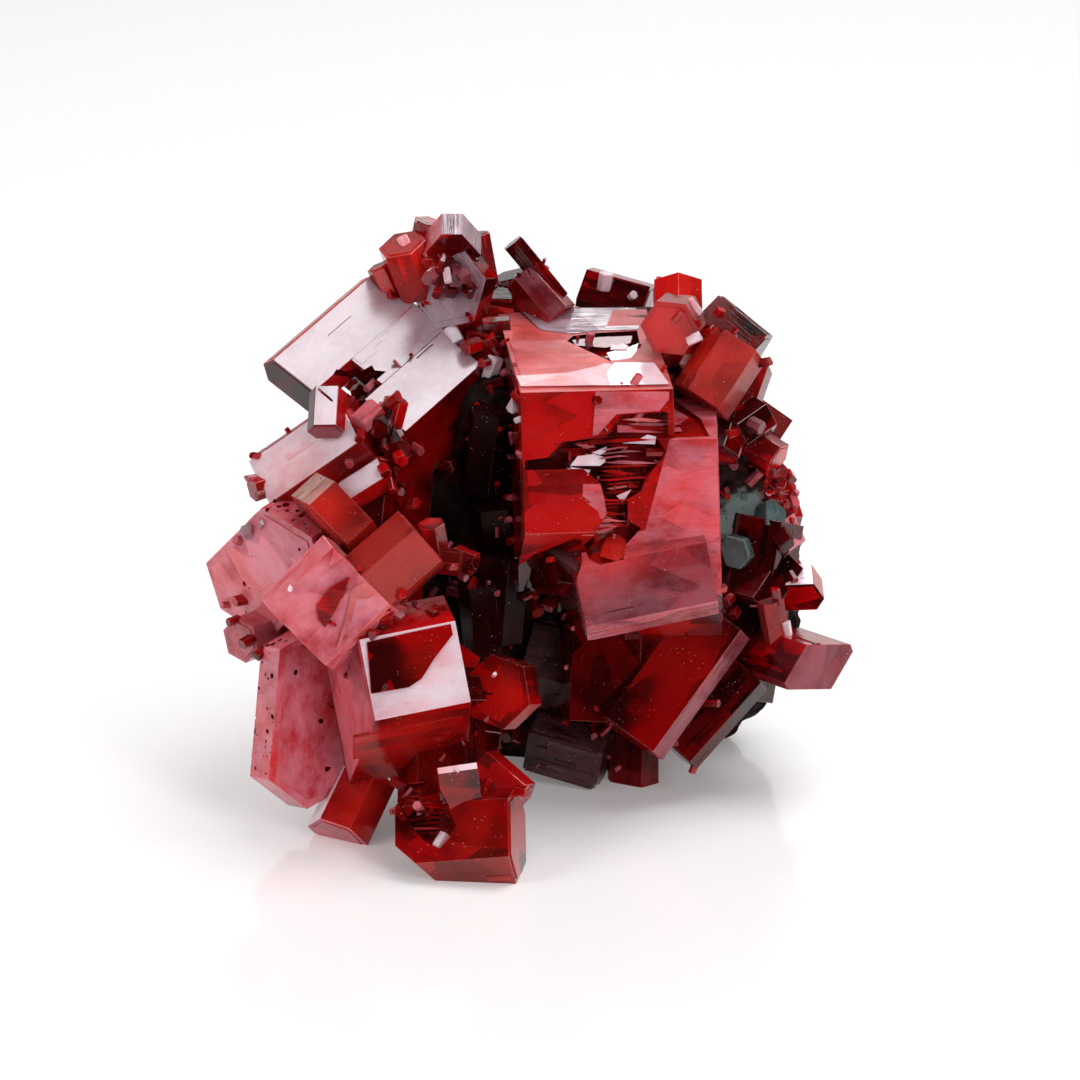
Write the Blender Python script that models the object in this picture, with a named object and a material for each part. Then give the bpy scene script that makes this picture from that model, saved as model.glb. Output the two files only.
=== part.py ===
"""A hand-sized group of vanadinite crystals on its rock matrix, in metres with +Z up.

Every crystal is a six-sided prism. Its place is given in the display frame, in millimetres: across
to the right, up, and forward to an eye that looks down on the specimen by DISPLAY_PITCH degrees.
"""

import math
from dataclasses import dataclass

import bmesh
import bpy
from mathutils import Matrix, Vector, noise

MM = 0.001
DISPLAY_PITCH = 20.0
DISPLAY_ORIGIN = Vector((1.03, -0.61, 24.4))
GAP = 0.3

BLANK_SIDE = 160.0
FLOOR_BLOCK = 200.0

ROCK_CENTRE = Vector((2.5, 10.4, 18.0))
ROCK_RADII = Vector((22.5, 9.5, 22.5))
ROCK_SUBDIVISIONS = 4
ROCK_LUMP_SHARE = 0.16
ROCK_LUMP_SCALE = 2.3
ROCK_GRAIN_SHARE = 0.04
ROCK_GRAIN_SCALE = 7.0
ROCK_SEED_OFFSET = Vector((3.7, 1.9, 8.2))

CRYSTAL_RED = (0.33, 0.012, 0.014, 1.0)
ROCK_BROWN = (0.10, 0.075, 0.06, 1.0)


@dataclass(frozen=True)
class Prism:
    """One crystal: where its near end is, which way its long axis points, and how wide its faces are.

    heading is the axis' direction in the display plane, anticlockwise from the right; tilt raises it
    towards the eye; spin turns the first face about it. sides are the widths of faces 0, 1 and 2,
    which faces 3, 4 and 5 repeat. at is the near end's centre, or its corner between faces `corner`
    and `corner` + 1. Each cut is a plane's direction, as (towards the eye, side, axis), and distance.
    """

    name: str
    at: tuple
    heading: float
    tilt: float
    spin: float
    sides: tuple
    length: float
    corner: int = None
    cuts: tuple = ()


LEFT_CRYSTALS = (
    Prism("left_heart", (-16.0, 10.0, -1.0), 85, -4, 10, (6.5, 6.5, 6.5), 21),
    Prism("left_bridge", (-4.0, -19.5, 0.0), -8, -4, 0, (3.4, 3.4, 3.4), 15),
    Prism("crown_root", (-8.8, 23.5, -6.5), 95, 8, 20, (3.2, 3.2, 3.2), 16),
    Prism("behind_upper", (-22.0, 3.0, -9.0), 175, -40, 10, (3.6, 3.2, 3), 9),
    Prism("behind_middle", (-23.5, -7.0, -6.0), 205, -35, 25, (3, 3.4, 3), 9),
    Prism("behind_lower", (-16.5, -15.0, -7.0), 235, -50, 0, (3.8, 3.2, 3.2), 10),
    Prism("behind_foot", (-9.0, -18.5, -3.0), 265, -35, 15, (2.8, 3.2, 2.8), 9),
    Prism("slab_edge", (-24.7, 16.7, 2.0), 223, 33, -16, (5, 1.9, 1.9), 14.5, corner=5),
    Prism("slab_middle", (-18.1, 17.2, 0.0), 223, 33, -16, (5.5, 2.5, 2.5), 9.5, corner=5),
    Prism("slab_thick", (-12.4, 10.0, 3.8), 223, 33, -16, (5, 6, 5), 11.3, corner=0),
    Prism("crown_front", (-7.2, 28.4, 0.0), -90, 37, 0, (2, 3.4, 3.4), 2.6, corner=0),
    Prism("crown_plate", (-8.6, 23.7, -3.0), 190, 60, 30, (4.2, 4.2, 4.2), 2.2),
    Prism("crown_red", (-12.9, 27.7, -3.0), 110, 35, 20, (2.4, 2.2, 2.4), 5.4),
    Prism("crown_left", (-15.2, 25.7, -5.0), 115, 20, 10, (1.2, 1.1, 1.1), 4),
    Prism("crown_back", (-10.5, 29.9, -4.5), 80, 25, 30, (1.6, 1.4, 1.4), 5),
    Prism("crown_right", (-5.8, 28.8, -5.0), 100, 15, 25, (1.2, 1.2, 1.2), 5),
    Prism("crown_nub_left", (-9.5, 24.4, -0.4), 250, 50, 10, (1.2, 1.2, 1.2), 2.5),
    Prism("crown_nub_mid", (-7.8, 24.2, -0.8), 280, 55, 20, (0.9, 0.9, 0.9), 2.5),
    Prism("crown_nub_right", (-6.3, 23.2, -1.4), 300, 50, 20, (0.7, 0.7, 0.7), 2),
    Prism("shelf_top", (-16.5, 9.0, 8.0), 34, 17, 23, (4.7, 3.5, 3), 10.6, corner=5),
    Prism("shelf_low", (-14.1, 5.8, 8.0), 32, 17, 23, (2, 1.5, 1.5), 4.5, corner=5),
    Prism("shelf_nub", (-26.5, 4.6, 4.0), 200, 30, 10, (1.3, 1, 1), 3.5),
    Prism("upright_white", (-18.6, 10.5, 9.0), 268, 30, -5, (2.1, 1.4, 1.4), 4.2, corner=0),
    Prism("upright_mid", (-16.0, 10.5, 8.5), 225, 20, -10, (1.2, 1, 1), 2.4, corner=0),
    Prism("upright_back", (-14.0, 12.9, 5.5), 75, 15, 10, (1.2, 1.2, 1.2), 3.5, corner=0),
    Prism("nest_a", (-14.9, 10.1, 7.5), 250, 55, 10, (1.2, 1.2, 1.2), 2.5),
    Prism("nest_b", (-13.0, 8.1, 7.0), 300, 50, 10, (1.3, 1.3, 1.3), 3),
    Prism("nest_c", (-12.5, 6.0, 7.0), 20, 40, 10, (1.2, 1.2, 1.2), 3),
    Prism("golden", (-20.9, 3.2, 12.0), 223, 11, -5, (5, 4.5, 4.5), 3.2, corner=5),
    Prism("blade_front", (-19.3, -11.3, 14.5), 224, -4, 10, (7.3, 5, 2.2), 8, corner=0),
    Prism("blade_upper", (-11.3, 0.9, 15.6), 41, 0, -20, (3.9, 3, 3.5), 9, corner=0),
    Prism("peach", (-9.9, 1.5, 11.0), 100, 30, 20, (1.4, 1.2, 1.2), 3),
    Prism("chip_long", (-7.1, -1.2, 11.0), -8, 20, 10, (1.4, 1.2, 1.2), 3.6, corner=0),
    Prism("chip_short", (-5.9, -1.4, 11.0), -20, 20, 10, (1.2, 1.1, 1.1), 2.2, corner=0),
    Prism("plate_low", (-24.8, -21.9, 8.0), 355, 58, 0, (12, 10.5, 5), 3.6, corner=5),
    Prism("plate_high", (-25.5, 3.0, 6.0), 213, 42, -36, (6, 4.7, 11.5), 5, corner=5),
    Prism("plate_rough", (-27.8, -9.3, 1.0), 200, 50, 10, (2.2, 2.2, 2.2), 4),
    Prism("under_blade", (-13.8, -7.7, 11.0), 30, 30, 10, (2.2, 2.2, 2.2), 5),
    Prism(
        "box_top", (-17.1, -16.7, 14.8), 191, 9, 0, (7.4, 11.5, 5), 11.2, corner=0,
        cuts=(((0.24, 0, 0.97), -0.56),),
    ),
    Prism("box_step", (-5.6, -20.6, 14.0), 8, -5, -15, (3.6, 0.8, 3), 3.6, corner=0),
    Prism(
        "foot_front", (-2.8, -28.4, 16.0), 5, 11, 20, (5.5, 5, 3.6), 10.5, corner=5,
        cuts=(((0.2, -0.7, -0.7), 8.0),),
    ),
    Prism("hex_front", (-3.9, -13.8, 10.0), 178, 65, 47, (3.5, 3.5, 3.5), 2.5),
    Prism("hex_root", (-4.0, -13.8, 7.6), 0, 0, 10, (2.2, 2.2, 2.2), 9),
    Prism("foot_left", (-17.4, -26.4, 7.5), 245, 25, -16, (3, 3, 3.3), 6.5, corner=0),
    Prism("ragged", (-1.8, -23.7, 9.0), -40, 20, 10, (2.2, 2, 2), 5),
    Prism("foot_root", (-9.0, -16.0, 2.0), 90, -25, 0, (4.4, 3.8, 3.8), 11),
)

RIGHT_CRYSTALS = (
    Prism("right_heart", (8.0, 14.0, -6.0), 88, 0, 10, (6.5, 6.5, 6.5), 31),
    Prism("ridge_root", (7.0, 18.5, -9.5), 145, 0, 15, (4, 4, 4), 18),
    Prism("ridge_base", (13.5, 19.2, -9.0), 0, 0, 10, (3, 3, 3), 15),
    Prism("side_root", (21.0, 2.0, -7.0), 80, 0, 5, (4, 4, 4), 17),
    Prism("chest_top", (-1.8, 13.5, 7.5), 181.8, 8, 0, (13, 8, 16), 14.2, corner=5),
    Prism("chest_main", (16.6, -5.0, 6.5), 1.5, 2, 3, (14.4, 9, 9), 9, corner=5),
    Prism("chest_low", (4.2, -8.0, 7.9), 191.5, 3, 0, (5.5, 2.5, 2.5), 12.4, corner=0),
    Prism("under_chest", (2.1, -4.6, 2.0), 265, 15, 10, (3.5, 3, 3), 6),
    Prism("ridge_dark", (9.5, 21.3, -10.0), -16, 10, 20, (3.2, 2.8, 2.8), 6.4, corner=5),
    Prism("ridge_roof", (13.0, 25.2, -4.8), 90, -28, 30, (2.6, 2.6, 2.6), 8.5, corner=5),
    Prism("ridge_hex", (12.0, 19.6, 2.0), 225, 70, 20, (2.8, 2.8, 2.8), 4),
    Prism("ridge_brown", (20.1, 17.6, 1.0), 57, -8, -3, (3.4, 2.6, 3), 6.6, corner=5),
    Prism("ridge_back", (20.0, 17.2, -2.0), -40, 12, 20, (3, 2.6, 2.6), 6),
    Prism("cleft_upper", (-4.4, 12.0, 0.5), 82, 20, 15, (2.4, 2.2, 2.2), 8),
    Prism("cleft_middle", (-4.2, 3.5, -0.5), 98, 25, 5, (2.6, 2.2, 2.2), 8),
    Prism("cleft_lower", (-3.4, -1.5, 1.0), 85, 15, 20, (2.8, 2.4, 2.4), 8),
    Prism("cleft_foot", (-5.4, -3.8, 1.0), 95, 20, 0, (2.4, 2.2, 2.2), 7),
    Prism("ridge_side", (19.9, 12.1, -3.0), 250, 20, 10, (2, 2, 2), 5, corner=0),
    Prism("ridge_end", (21.5, 7.3, -3.0), -32, 20, 10, (1.8, 2, 2), 4.5, corner=5),
    Prism("ridge_low", (18.1, 9.8, -2.0), 215, 25, 15, (2.2, 1.8, 1.8), 3.8),
    Prism("ridge_mid", (17.0, 7.9, -1.0), 250, 30, 25, (1.8, 1.6, 1.6), 4),
    Prism("peak_lean", (-2.6, 28.0, -5.5), 130, 10, -30, (0.9, 1.3, 1.3), 7),
    Prism("peak_long", (-1.7, 24.7, -7.0), 131, -10, -10, (2, 2.4, 2.4), 5.2),
    Prism("saddle_left", (-2.2, 25.2, -8.5), 105, 15, 10, (3.2, 2.8, 2.8), 6),
    Prism("saddle_right", (1.4, 23.4, -9.5), 60, 15, 30, (2, 2, 2), 5),
    Prism("saddle_foot", (-5.0, 19.5, -4.0), 80, 10, 15, (2.4, 2.2, 2.2), 7),
    Prism("side_hex", (20.9, -0.5, -5.0), 212, 60, 10, (2.8, 2.8, 2.8), 4),
    Prism("side_cap", (25.7, -4.1, -4.0), -88, 58, 0, (2.9, 2, 1.4), 3.5, corner=0),
    Prism("side_box", (24.7, -9.7, 2.0), 341.6, 55, 15, (4.1, 5.1, 0.8), 8, corner=0),
    Prism("side_wedge", (19.8, -6.5, -4.0), 235, 25, 20, (2.6, 2.2, 2.2), 6),
    Prism("side_post", (21.5, -5.6, -2.0), 100, 15, 10, (1, 1.6, 1.6), 4.5),
    Prism("deep_red", (10.5, -19.6, 2.0), 234, 6, -5, (5.4, 2.2, 5), 14, corner=0),
    Prism("edge_red", (14.0, -20.7, -1.0), 228, 5, 0, (3.5, 2, 3), 10, corner=0),
    Prism("foot_right", (9.6, -23.4, -7.0), 270, -3, -25, (3.3, 2, 2.5), 9, corner=0),
    Prism("block_upper", (4.9, -14.2, -3.0), -14, 5, 10, (5, 4, 4), 7, corner=5),
    Prism("block_lower", (5.6, -20.0, -4.0), -16, 10, 30, (3, 3.5, 4), 7, corner=5),
)

BACK_CRYSTALS = (
    Prism("back_tall", (6.0, 13.0, -21.0), 75, -35, 10, (3.6, 3, 3), 9),
    Prism("back_wide", (-9.0, 5.0, -20.0), 200, -60, 20, (4.5, 3.5, 3.5), 7),
    Prism("back_low", (10.0, -3.0, -23.0), 330, -50, 0, (3.5, 3.5, 3), 8),
    Prism("back_stub", (0.5, 0.0, -24.0), 260, -65, 25, (2.6, 2.6, 2.6), 6),
    Prism("flank_right", (24.0, 3.0, -15.0), 10, -25, 15, (3, 2.5, 2.5), 7),
    Prism("flank_left", (-22.0, 0.0, -13.0), 175, -25, 15, (3.5, 3, 3), 8),
    Prism("shoulder_left", (-15.0, 15.0, -12.0), 130, -20, 5, (3.2, 3, 3), 8),
    Prism("shoulder_right", (17.0, 13.0, -14.0), 50, -20, 5, (3, 3, 3), 8),
)


def display_to_world(point):
    """A display-frame point in millimetres, as a world point in millimetres."""
    pitch = math.radians(DISPLAY_PITCH)
    across, up, forward = point
    turned = Vector((
        across,
        up * math.sin(pitch) - forward * math.cos(pitch),
        up * math.cos(pitch) + forward * math.sin(pitch),
    ))
    return DISPLAY_ORIGIN + turned


def prism_axes(prism):
    """The crystal's own directions in the display frame: towards the eye, sideways and along its axis."""
    heading = math.radians(prism.heading)
    tilt = math.radians(prism.tilt)
    flat = Vector((math.cos(heading), math.sin(heading), 0.0))
    axis = flat * math.cos(tilt) + Vector((0.0, 0.0, math.sin(tilt)))
    side = Vector((-math.sin(heading), math.cos(heading), 0.0))
    return axis.cross(side), side, axis


def face_distances(sides):
    """The distance of each of the six faces from the axis, for a prism with these side widths."""
    first, second, third = sides
    half = [
        (second + third) * math.sqrt(3) / 4,
        (first + third) * math.sqrt(3) / 4,
        (first + second) * math.sqrt(3) / 4,
    ]
    return half + half


def corner_offset(distances, spin, corner):
    """Where the edge between two neighbouring faces lies, across the axis."""
    angle = math.radians(spin + 60 * corner)
    near = distances[corner % 6]
    far = distances[(corner + 1) % 6]
    along = (far - near * math.cos(math.radians(60))) / math.sin(math.radians(60))
    return (
        near * math.cos(angle) - along * math.sin(angle),
        near * math.sin(angle) + along * math.cos(angle),
    )


def prism_planes(prism, grow):
    """The planes that bound a crystal, as (direction, distance) in its own frame, moved out by grow."""
    distances = face_distances(prism.sides)
    planes = []
    for number, distance in enumerate(distances):
        angle = math.radians(prism.spin + 60 * number)
        planes.append((Vector((math.cos(angle), math.sin(angle), 0.0)), distance + grow))
    planes.append((Vector((0.0, 0.0, 1.0)), grow))
    planes.append((Vector((0.0, 0.0, -1.0)), prism.length + grow))
    for direction, distance in prism.cuts:
        planes.append((Vector(direction).normalized(), distance + grow))
    return planes


def prism_placement(prism):
    """The matrix from a crystal's own frame, in millimetres, to the world, in metres."""
    toward, side, axis = prism_axes(prism)
    start = Vector(prism.at)
    if prism.corner is not None:
        offset = corner_offset(face_distances(prism.sides), prism.spin, prism.corner)
        start -= toward * offset[0] + side * offset[1]
    origin = display_to_world(start)
    columns = [display_to_world(start + way) - origin for way in (toward, side, axis)]
    turn = Matrix(columns).transposed().to_4x4()
    return Matrix.Scale(MM, 4) @ Matrix.Translation(origin) @ turn


def cut_to_planes(shape, planes):
    """Cuts a block down to the inside of every plane, closing each cut with one flat face."""
    for direction, distance in planes:
        cut = bmesh.ops.bisect_plane(
            shape,
            geom=shape.verts[:] + shape.edges[:] + shape.faces[:],
            plane_co=direction * distance,
            plane_no=direction,
            clear_outer=True,
        )
        rim = [item for item in cut["geom_cut"] if isinstance(item, bmesh.types.BMEdge)]
        if rim:
            bmesh.ops.contextual_create(shape, geom=rim)


def new_object(name, shape, collection):
    """Turns a finished bmesh into an object of the collection."""
    bmesh.ops.recalc_face_normals(shape, faces=shape.faces[:])
    mesh = bpy.data.meshes.new(name)
    shape.to_mesh(mesh)
    shape.free()
    made = bpy.data.objects.new(name, mesh)
    collection.objects.link(made)
    return made


def crystal(prism, collection, grow=0.0, suffix=""):
    """One crystal as a closed solid, grown on every side by grow millimetres."""
    shape = bmesh.new()
    bmesh.ops.create_cube(shape, size=BLANK_SIDE)
    cut_to_planes(shape, prism_planes(prism, grow))
    bmesh.ops.transform(shape, matrix=prism_placement(prism), verts=shape.verts[:])
    return new_object(prism.name + suffix, shape, collection)


def floor_block(collection):
    """Everything below the surface that the specimen stands on."""
    shape = bmesh.new()
    place = Matrix.Translation((0.0, 0.0, -FLOOR_BLOCK * MM / 2))
    bmesh.ops.create_cube(shape, size=FLOOR_BLOCK * MM, matrix=place)
    return new_object("floor_block", shape, collection)


def rock(collection):
    """The matrix before the crystals are let into it: a lumpy stone, broken flat at the back."""
    shape = bmesh.new()
    bmesh.ops.create_icosphere(shape, subdivisions=ROCK_SUBDIVISIONS, radius=1.0)
    for vertex in shape.verts:
        way = vertex.co.normalized()
        lump = noise.noise(way * ROCK_LUMP_SCALE + ROCK_SEED_OFFSET)
        grain = noise.noise(way * ROCK_GRAIN_SCALE + ROCK_SEED_OFFSET)
        reach = 1 + ROCK_LUMP_SHARE * lump + ROCK_GRAIN_SHARE * grain
        vertex.co = ROCK_CENTRE + Vector(way * ROCK_RADII * reach)
    bmesh.ops.scale(shape, vec=(MM, MM, MM), verts=shape.verts[:])
    return new_object("matrix", shape, collection)


def new_collection(name, helper=False):
    """A collection under the scene's own, hidden from renders if it holds helpers."""
    made = bpy.data.collections.new(name)
    bpy.context.scene.collection.children.link(made)
    made.hide_render = helper
    return made


def hide_helpers(collection):
    """Keeps the cutters and joined pieces out of renders."""
    for helper in collection.objects:
        helper.hide_render = True
        helper.display_type = "WIRE"


def boolean(target, operation, other):
    """Adds an exact Boolean with one object or with a collection of them."""
    modifier = target.modifiers.new(other.name, "BOOLEAN")
    modifier.operation = operation
    modifier.solver = "EXACT"
    if isinstance(other, bpy.types.Collection):
        modifier.operand_type = "COLLECTION"
        modifier.collection = other
    else:
        modifier.object = other


def keep_largest_piece(target):
    """Applies the Booleans and drops the small chips that they cut loose."""
    graph = bpy.context.evaluated_depsgraph_get()
    shape = bmesh.new()
    shape.from_mesh(bpy.data.meshes.new_from_object(target.evaluated_get(graph)))
    target.modifiers.clear()
    bmesh.ops.triangulate(shape, faces=shape.faces[:])
    left = set(shape.verts)
    pieces = []
    while left:
        piece = {left.pop()}
        edge_of = list(piece)
        while edge_of:
            vertex = edge_of.pop()
            for edge in vertex.link_edges:
                other = edge.other_vert(vertex)
                if other in left:
                    left.remove(other)
                    piece.add(other)
                    edge_of.append(other)
        pieces.append(piece)
    largest = max(pieces, key=len)
    loose = [vertex for vertex in shape.verts if vertex not in largest]
    bmesh.ops.delete(shape, geom=loose, context="VERTS")
    shape.to_mesh(target.data)
    shape.free()
    return len(pieces)


def finish(target, name, colour, roughness):
    """Gives a sub-part its material."""
    material = bpy.data.materials.new(name)
    material.use_nodes = True
    surface = material.node_tree.nodes["Principled BSDF"]
    surface.inputs["Base Color"].default_value = colour
    surface.inputs["Roughness"].default_value = roughness
    surface.inputs["Metallic"].default_value = 0.0
    target.data.materials.clear()
    target.data.materials.append(material)


def cluster(name, prisms, floor):
    """Crystals that grew into one another, joined in one solid; returns it and its grown copies."""
    node = crystal(prisms[0], new_collection(name))
    node.name = name
    grown = new_collection(name + "_joined", helper=True)
    for prism in prisms[1:]:
        crystal(prism, grown)
    hide_helpers(grown)
    if grown.objects:
        boolean(node, "UNION", grown)
    boolean(node, "DIFFERENCE", floor)
    sockets = new_collection(name + "_sockets", helper=True)
    for prism in prisms:
        crystal(prism, sockets, GAP, "_socket")
    hide_helpers(sockets)
    return node, sockets


def build():
    """Makes the matrix and the crystals, each sub-part in a collection of its own name."""
    for old in list(bpy.data.objects):
        bpy.data.objects.remove(old, do_unlink=True)
    helpers = new_collection("helpers", helper=True)
    floor = floor_block(helpers)
    hide_helpers(helpers)

    left, left_sockets = cluster("left_crystals", LEFT_CRYSTALS, floor)
    right, right_sockets = cluster("right_crystals", RIGHT_CRYSTALS, floor)
    boolean(right, "DIFFERENCE", left_sockets)
    sockets = [left_sockets, right_sockets]
    singles = []
    for prism in BACK_CRYSTALS:
        single, single_sockets = cluster(prism.name + "_crystal", (prism,), floor)
        boolean(single, "DIFFERENCE", left_sockets)
        boolean(single, "DIFFERENCE", right_sockets)
        singles.append(single)
        sockets.append(single_sockets)

    matrix = rock(new_collection("matrix"))
    for cutter in sockets:
        boolean(matrix, "DIFFERENCE", cutter)
    boolean(matrix, "DIFFERENCE", floor)

    for node in [left, right, matrix] + singles:
        pieces = keep_largest_piece(node)
        print(node.name, "came in", pieces, "pieces,", len(node.data.polygons), "triangles")
        is_rock = node is matrix
        finish(node, node.name, ROCK_BROWN if is_rock else CRYSTAL_RED, 0.9 if is_rock else 0.15)


build()
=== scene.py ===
"""Dresses the vanadinite specimen: stepped crystals, their small neighbours, the rock and the studio.

Places are given in the display frame, in millimetres: across to the right, up, and forward to an eye
that looks down on the specimen by DISPLAY_PITCH degrees.
"""

import logging
import math
import random
from dataclasses import dataclass, field
from enum import Enum
from typing import Iterable, Optional, Sequence

import bmesh
import bpy
import numpy as np
from mathutils import Matrix, Vector, noise
from mathutils.bvhtree import BVHTree


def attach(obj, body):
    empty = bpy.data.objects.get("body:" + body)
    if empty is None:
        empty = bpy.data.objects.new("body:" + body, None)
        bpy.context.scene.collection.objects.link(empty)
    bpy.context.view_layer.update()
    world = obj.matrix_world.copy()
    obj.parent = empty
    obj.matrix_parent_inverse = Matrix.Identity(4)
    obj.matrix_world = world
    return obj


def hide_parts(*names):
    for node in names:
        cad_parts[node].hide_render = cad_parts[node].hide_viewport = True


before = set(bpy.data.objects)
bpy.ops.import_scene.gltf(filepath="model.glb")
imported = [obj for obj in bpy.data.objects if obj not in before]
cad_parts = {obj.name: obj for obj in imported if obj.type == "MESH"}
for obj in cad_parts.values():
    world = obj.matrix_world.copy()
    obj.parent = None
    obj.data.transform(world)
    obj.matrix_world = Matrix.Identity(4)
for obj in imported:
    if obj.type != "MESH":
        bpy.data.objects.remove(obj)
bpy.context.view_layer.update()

LOG = logging.getLogger("vanadinite")

MM = 0.001
DISPLAY_PITCH = 20.0
DISPLAY_ORIGIN = Vector((1.03, -0.61, 24.4))
BLANK_SIDE = 160.0
FLOOR_BLOCK = 200.0
BACK_SEED = 40
EYE_DISTANCE = 450.0
EDGE_ROUND = 0.045
EDGE_ROUND_SHARE = 0.035
SMALL_ROUND_SHARE = 0.04
GRAIN_LAYER = "grain"
HIGHLIGHT_LAYER = "wear"
GRAIN_SPAN = 40.0
LAYER_MARGIN = 0.04
NARROWEST_LAYER = 0.15
FAR_END_CHANCE = 0.3
STRIP_OVERLAP = 0.04
LAYER_ROOT = 0.25
CAP_ROOT = 0.4
NARROWEST_CAP = 1.0
FURROWED_LENGTH = 6
SIXTH_TURN = math.radians(60)
NEIGHBOUR_GAP = 0.1
SPROUT_ROOT = 0.4
SPROUT_STANDS = 0.75
CREVICE_REACH = 1.6
CREVICE_SPOTS = 900
GLOW_CORE = 0.15

Triple = tuple[float, float, float]
Colour = tuple[float, float, float]


class Tone(Enum):
    """How a crystal looks; the value is its material slot."""

    DEEP = 0
    RED = 1
    # Red with a pink film of painted sheen.
    DUSTY = 2
    # Pale lavender-grey: a red face lightened by painted sheen, under the lamps' own reflection.
    PALE = 3
    GOLDEN = 4
    BROWN = 5
    BLOCK = 6
    MOSS = 7
    STRIPED = 8
    PLUM = 9
    # Its lilac film is partly painted sheen.
    LILAC = 10
    # Near-white faces: a painted sheen.
    WHITE = 11
    SALMON = 12
    # Near-black: painted shade.
    SHADE = 13
    WINE = 14


DEEP, RED, DUSTY, PALE, GOLDEN, BROWN, BLOCK, MOSS, STRIPED, PLUM, LILAC, WHITE, SALMON, SHADE, WINE = Tone


@dataclass(frozen=True)
class Prism:
    """One six-sided crystal.

    heading is its axis' direction in the display plane, anticlockwise from the right; tilt raises it
    towards the eye; spin turns the first face about it. sides are the widths of faces 0, 1 and 2,
    which faces 3, 4 and 5 repeat. at is the near end's centre, or its corner between faces `corner`
    and `corner` + 1. Each cut is a plane's direction, as (towards the eye, side, axis), and distance.
    dressed gives single faces a tone: 0 to 5 are the side faces, 6 the near end, 8 the first cut.
    steps, rise and pits are how many growth layers it has, their height and its pits on each face.
    """

    name: str
    at: Triple
    heading: float
    tilt: float
    spin: float
    sides: Triple
    length: float
    corner: Optional[int] = None
    cuts: tuple = ()
    tone: Tone = RED
    steps: int = 3
    rise: float = 0.12
    pits: int = 0
    dressed: tuple = ()

    def axes(self) -> tuple[Vector, Vector, Vector]:
        """The crystal's own directions.

        Returns:
            Towards the eye, sideways and along its axis, in the display frame.
        """
        heading = math.radians(self.heading)
        tilt = math.radians(self.tilt)
        flat = Vector((math.cos(heading), math.sin(heading), 0.0))
        axis = flat * math.cos(tilt) + Vector((0.0, 0.0, math.sin(tilt)))
        side = Vector((-math.sin(heading), math.cos(heading), 0.0))
        return axis.cross(side), side, axis

    def distances(self) -> list[float]:
        """The distance of each of the six side faces from the axis."""
        first, second, third = self.sides
        half = [pair * math.sqrt(3) / 4 for pair in (second + third, first + third, first + second)]
        return half + half

    def face_ways(self, number: int) -> tuple[Vector, Vector]:
        """The directions out of a side face and across it, in the crystal's own frame."""
        angle = math.radians(self.spin + 60 * number)
        out = Vector((math.cos(angle), math.sin(angle), 0.0))
        return out, Vector((-math.sin(angle), math.cos(angle), 0.0))

    @staticmethod
    def edge_place(near: float, far: float) -> float:
        """Where a side face ends, across it, from its own and the next face's distance."""
        return (far - near * math.cos(SIXTH_TURN)) / math.sin(SIXTH_TURN)

    def face_span(self, number: int) -> tuple[float, float]:
        """The two ends of a side face, measured across it from its foot on the axis."""
        own, after, before = (self.distances()[(number + step) % 6] for step in (0, 1, -1))
        return -self.edge_place(own, before), self.edge_place(own, after)

    def corner_offset(self) -> tuple[float, float]:
        """Where the edge between faces `corner` and `corner` + 1 lies.

        Returns:
            Its place towards the eye and sideways, from the axis.
        """
        near, far = (self.distances()[(self.corner + step) % 6] for step in (0, 1))
        angle = math.radians(self.spin + 60 * self.corner)
        along = self.edge_place(near, far)
        return (
            near * math.cos(angle) - along * math.sin(angle),
            near * math.sin(angle) + along * math.cos(angle),
        )

    def planes(self, grow: float = 0.0) -> list[tuple[Vector, float]]:
        """The planes that bound the crystal in its own frame.

        Args:
            grow: How far every plane moves out.

        Returns:
            Each plane's direction and distance: the side faces, the near end, the far end, the cuts.
        """
        planes = [
            (self.face_ways(number)[0], distance + grow)
            for number, distance in enumerate(self.distances())
        ]
        planes.append((Vector((0.0, 0.0, 1.0)), grow))
        planes.append((Vector((0.0, 0.0, -1.0)), self.length + grow))
        for direction, distance in self.cuts:
            planes.append((Vector(direction).normalized(), distance + grow))
        return planes

    def placement(self) -> Matrix:
        """Where the crystal stands.

        Returns:
            The matrix from its own frame, in millimetres, to the world, in metres.
        """
        toward, side, axis = self.axes()
        start = Vector(self.at)
        if self.corner is not None:
            offset = self.corner_offset()
            start -= toward * offset[0] + side * offset[1]
        return frame_at(start, (toward, side, axis))


@dataclass(frozen=True)
class Shard:
    """A thin broken plate, drawn as the eye sees it: (across, up) points on the display plane.

    lift is how far each point stands in front of what it grew on, unless the point gives its own
    after up, and thick how deep the plate goes behind it.
    """

    name: str
    points: tuple
    lift: float
    thick: float
    tone: Tone
    taper: float = 0.85


def hollow(name: str, deep: float, points: tuple) -> Shard:
    """A shard that is cut out of the crystals instead of standing on them."""
    return Shard(name, points, lift=0.6, thick=deep, tone=DEEP, taper=0.9)


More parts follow.
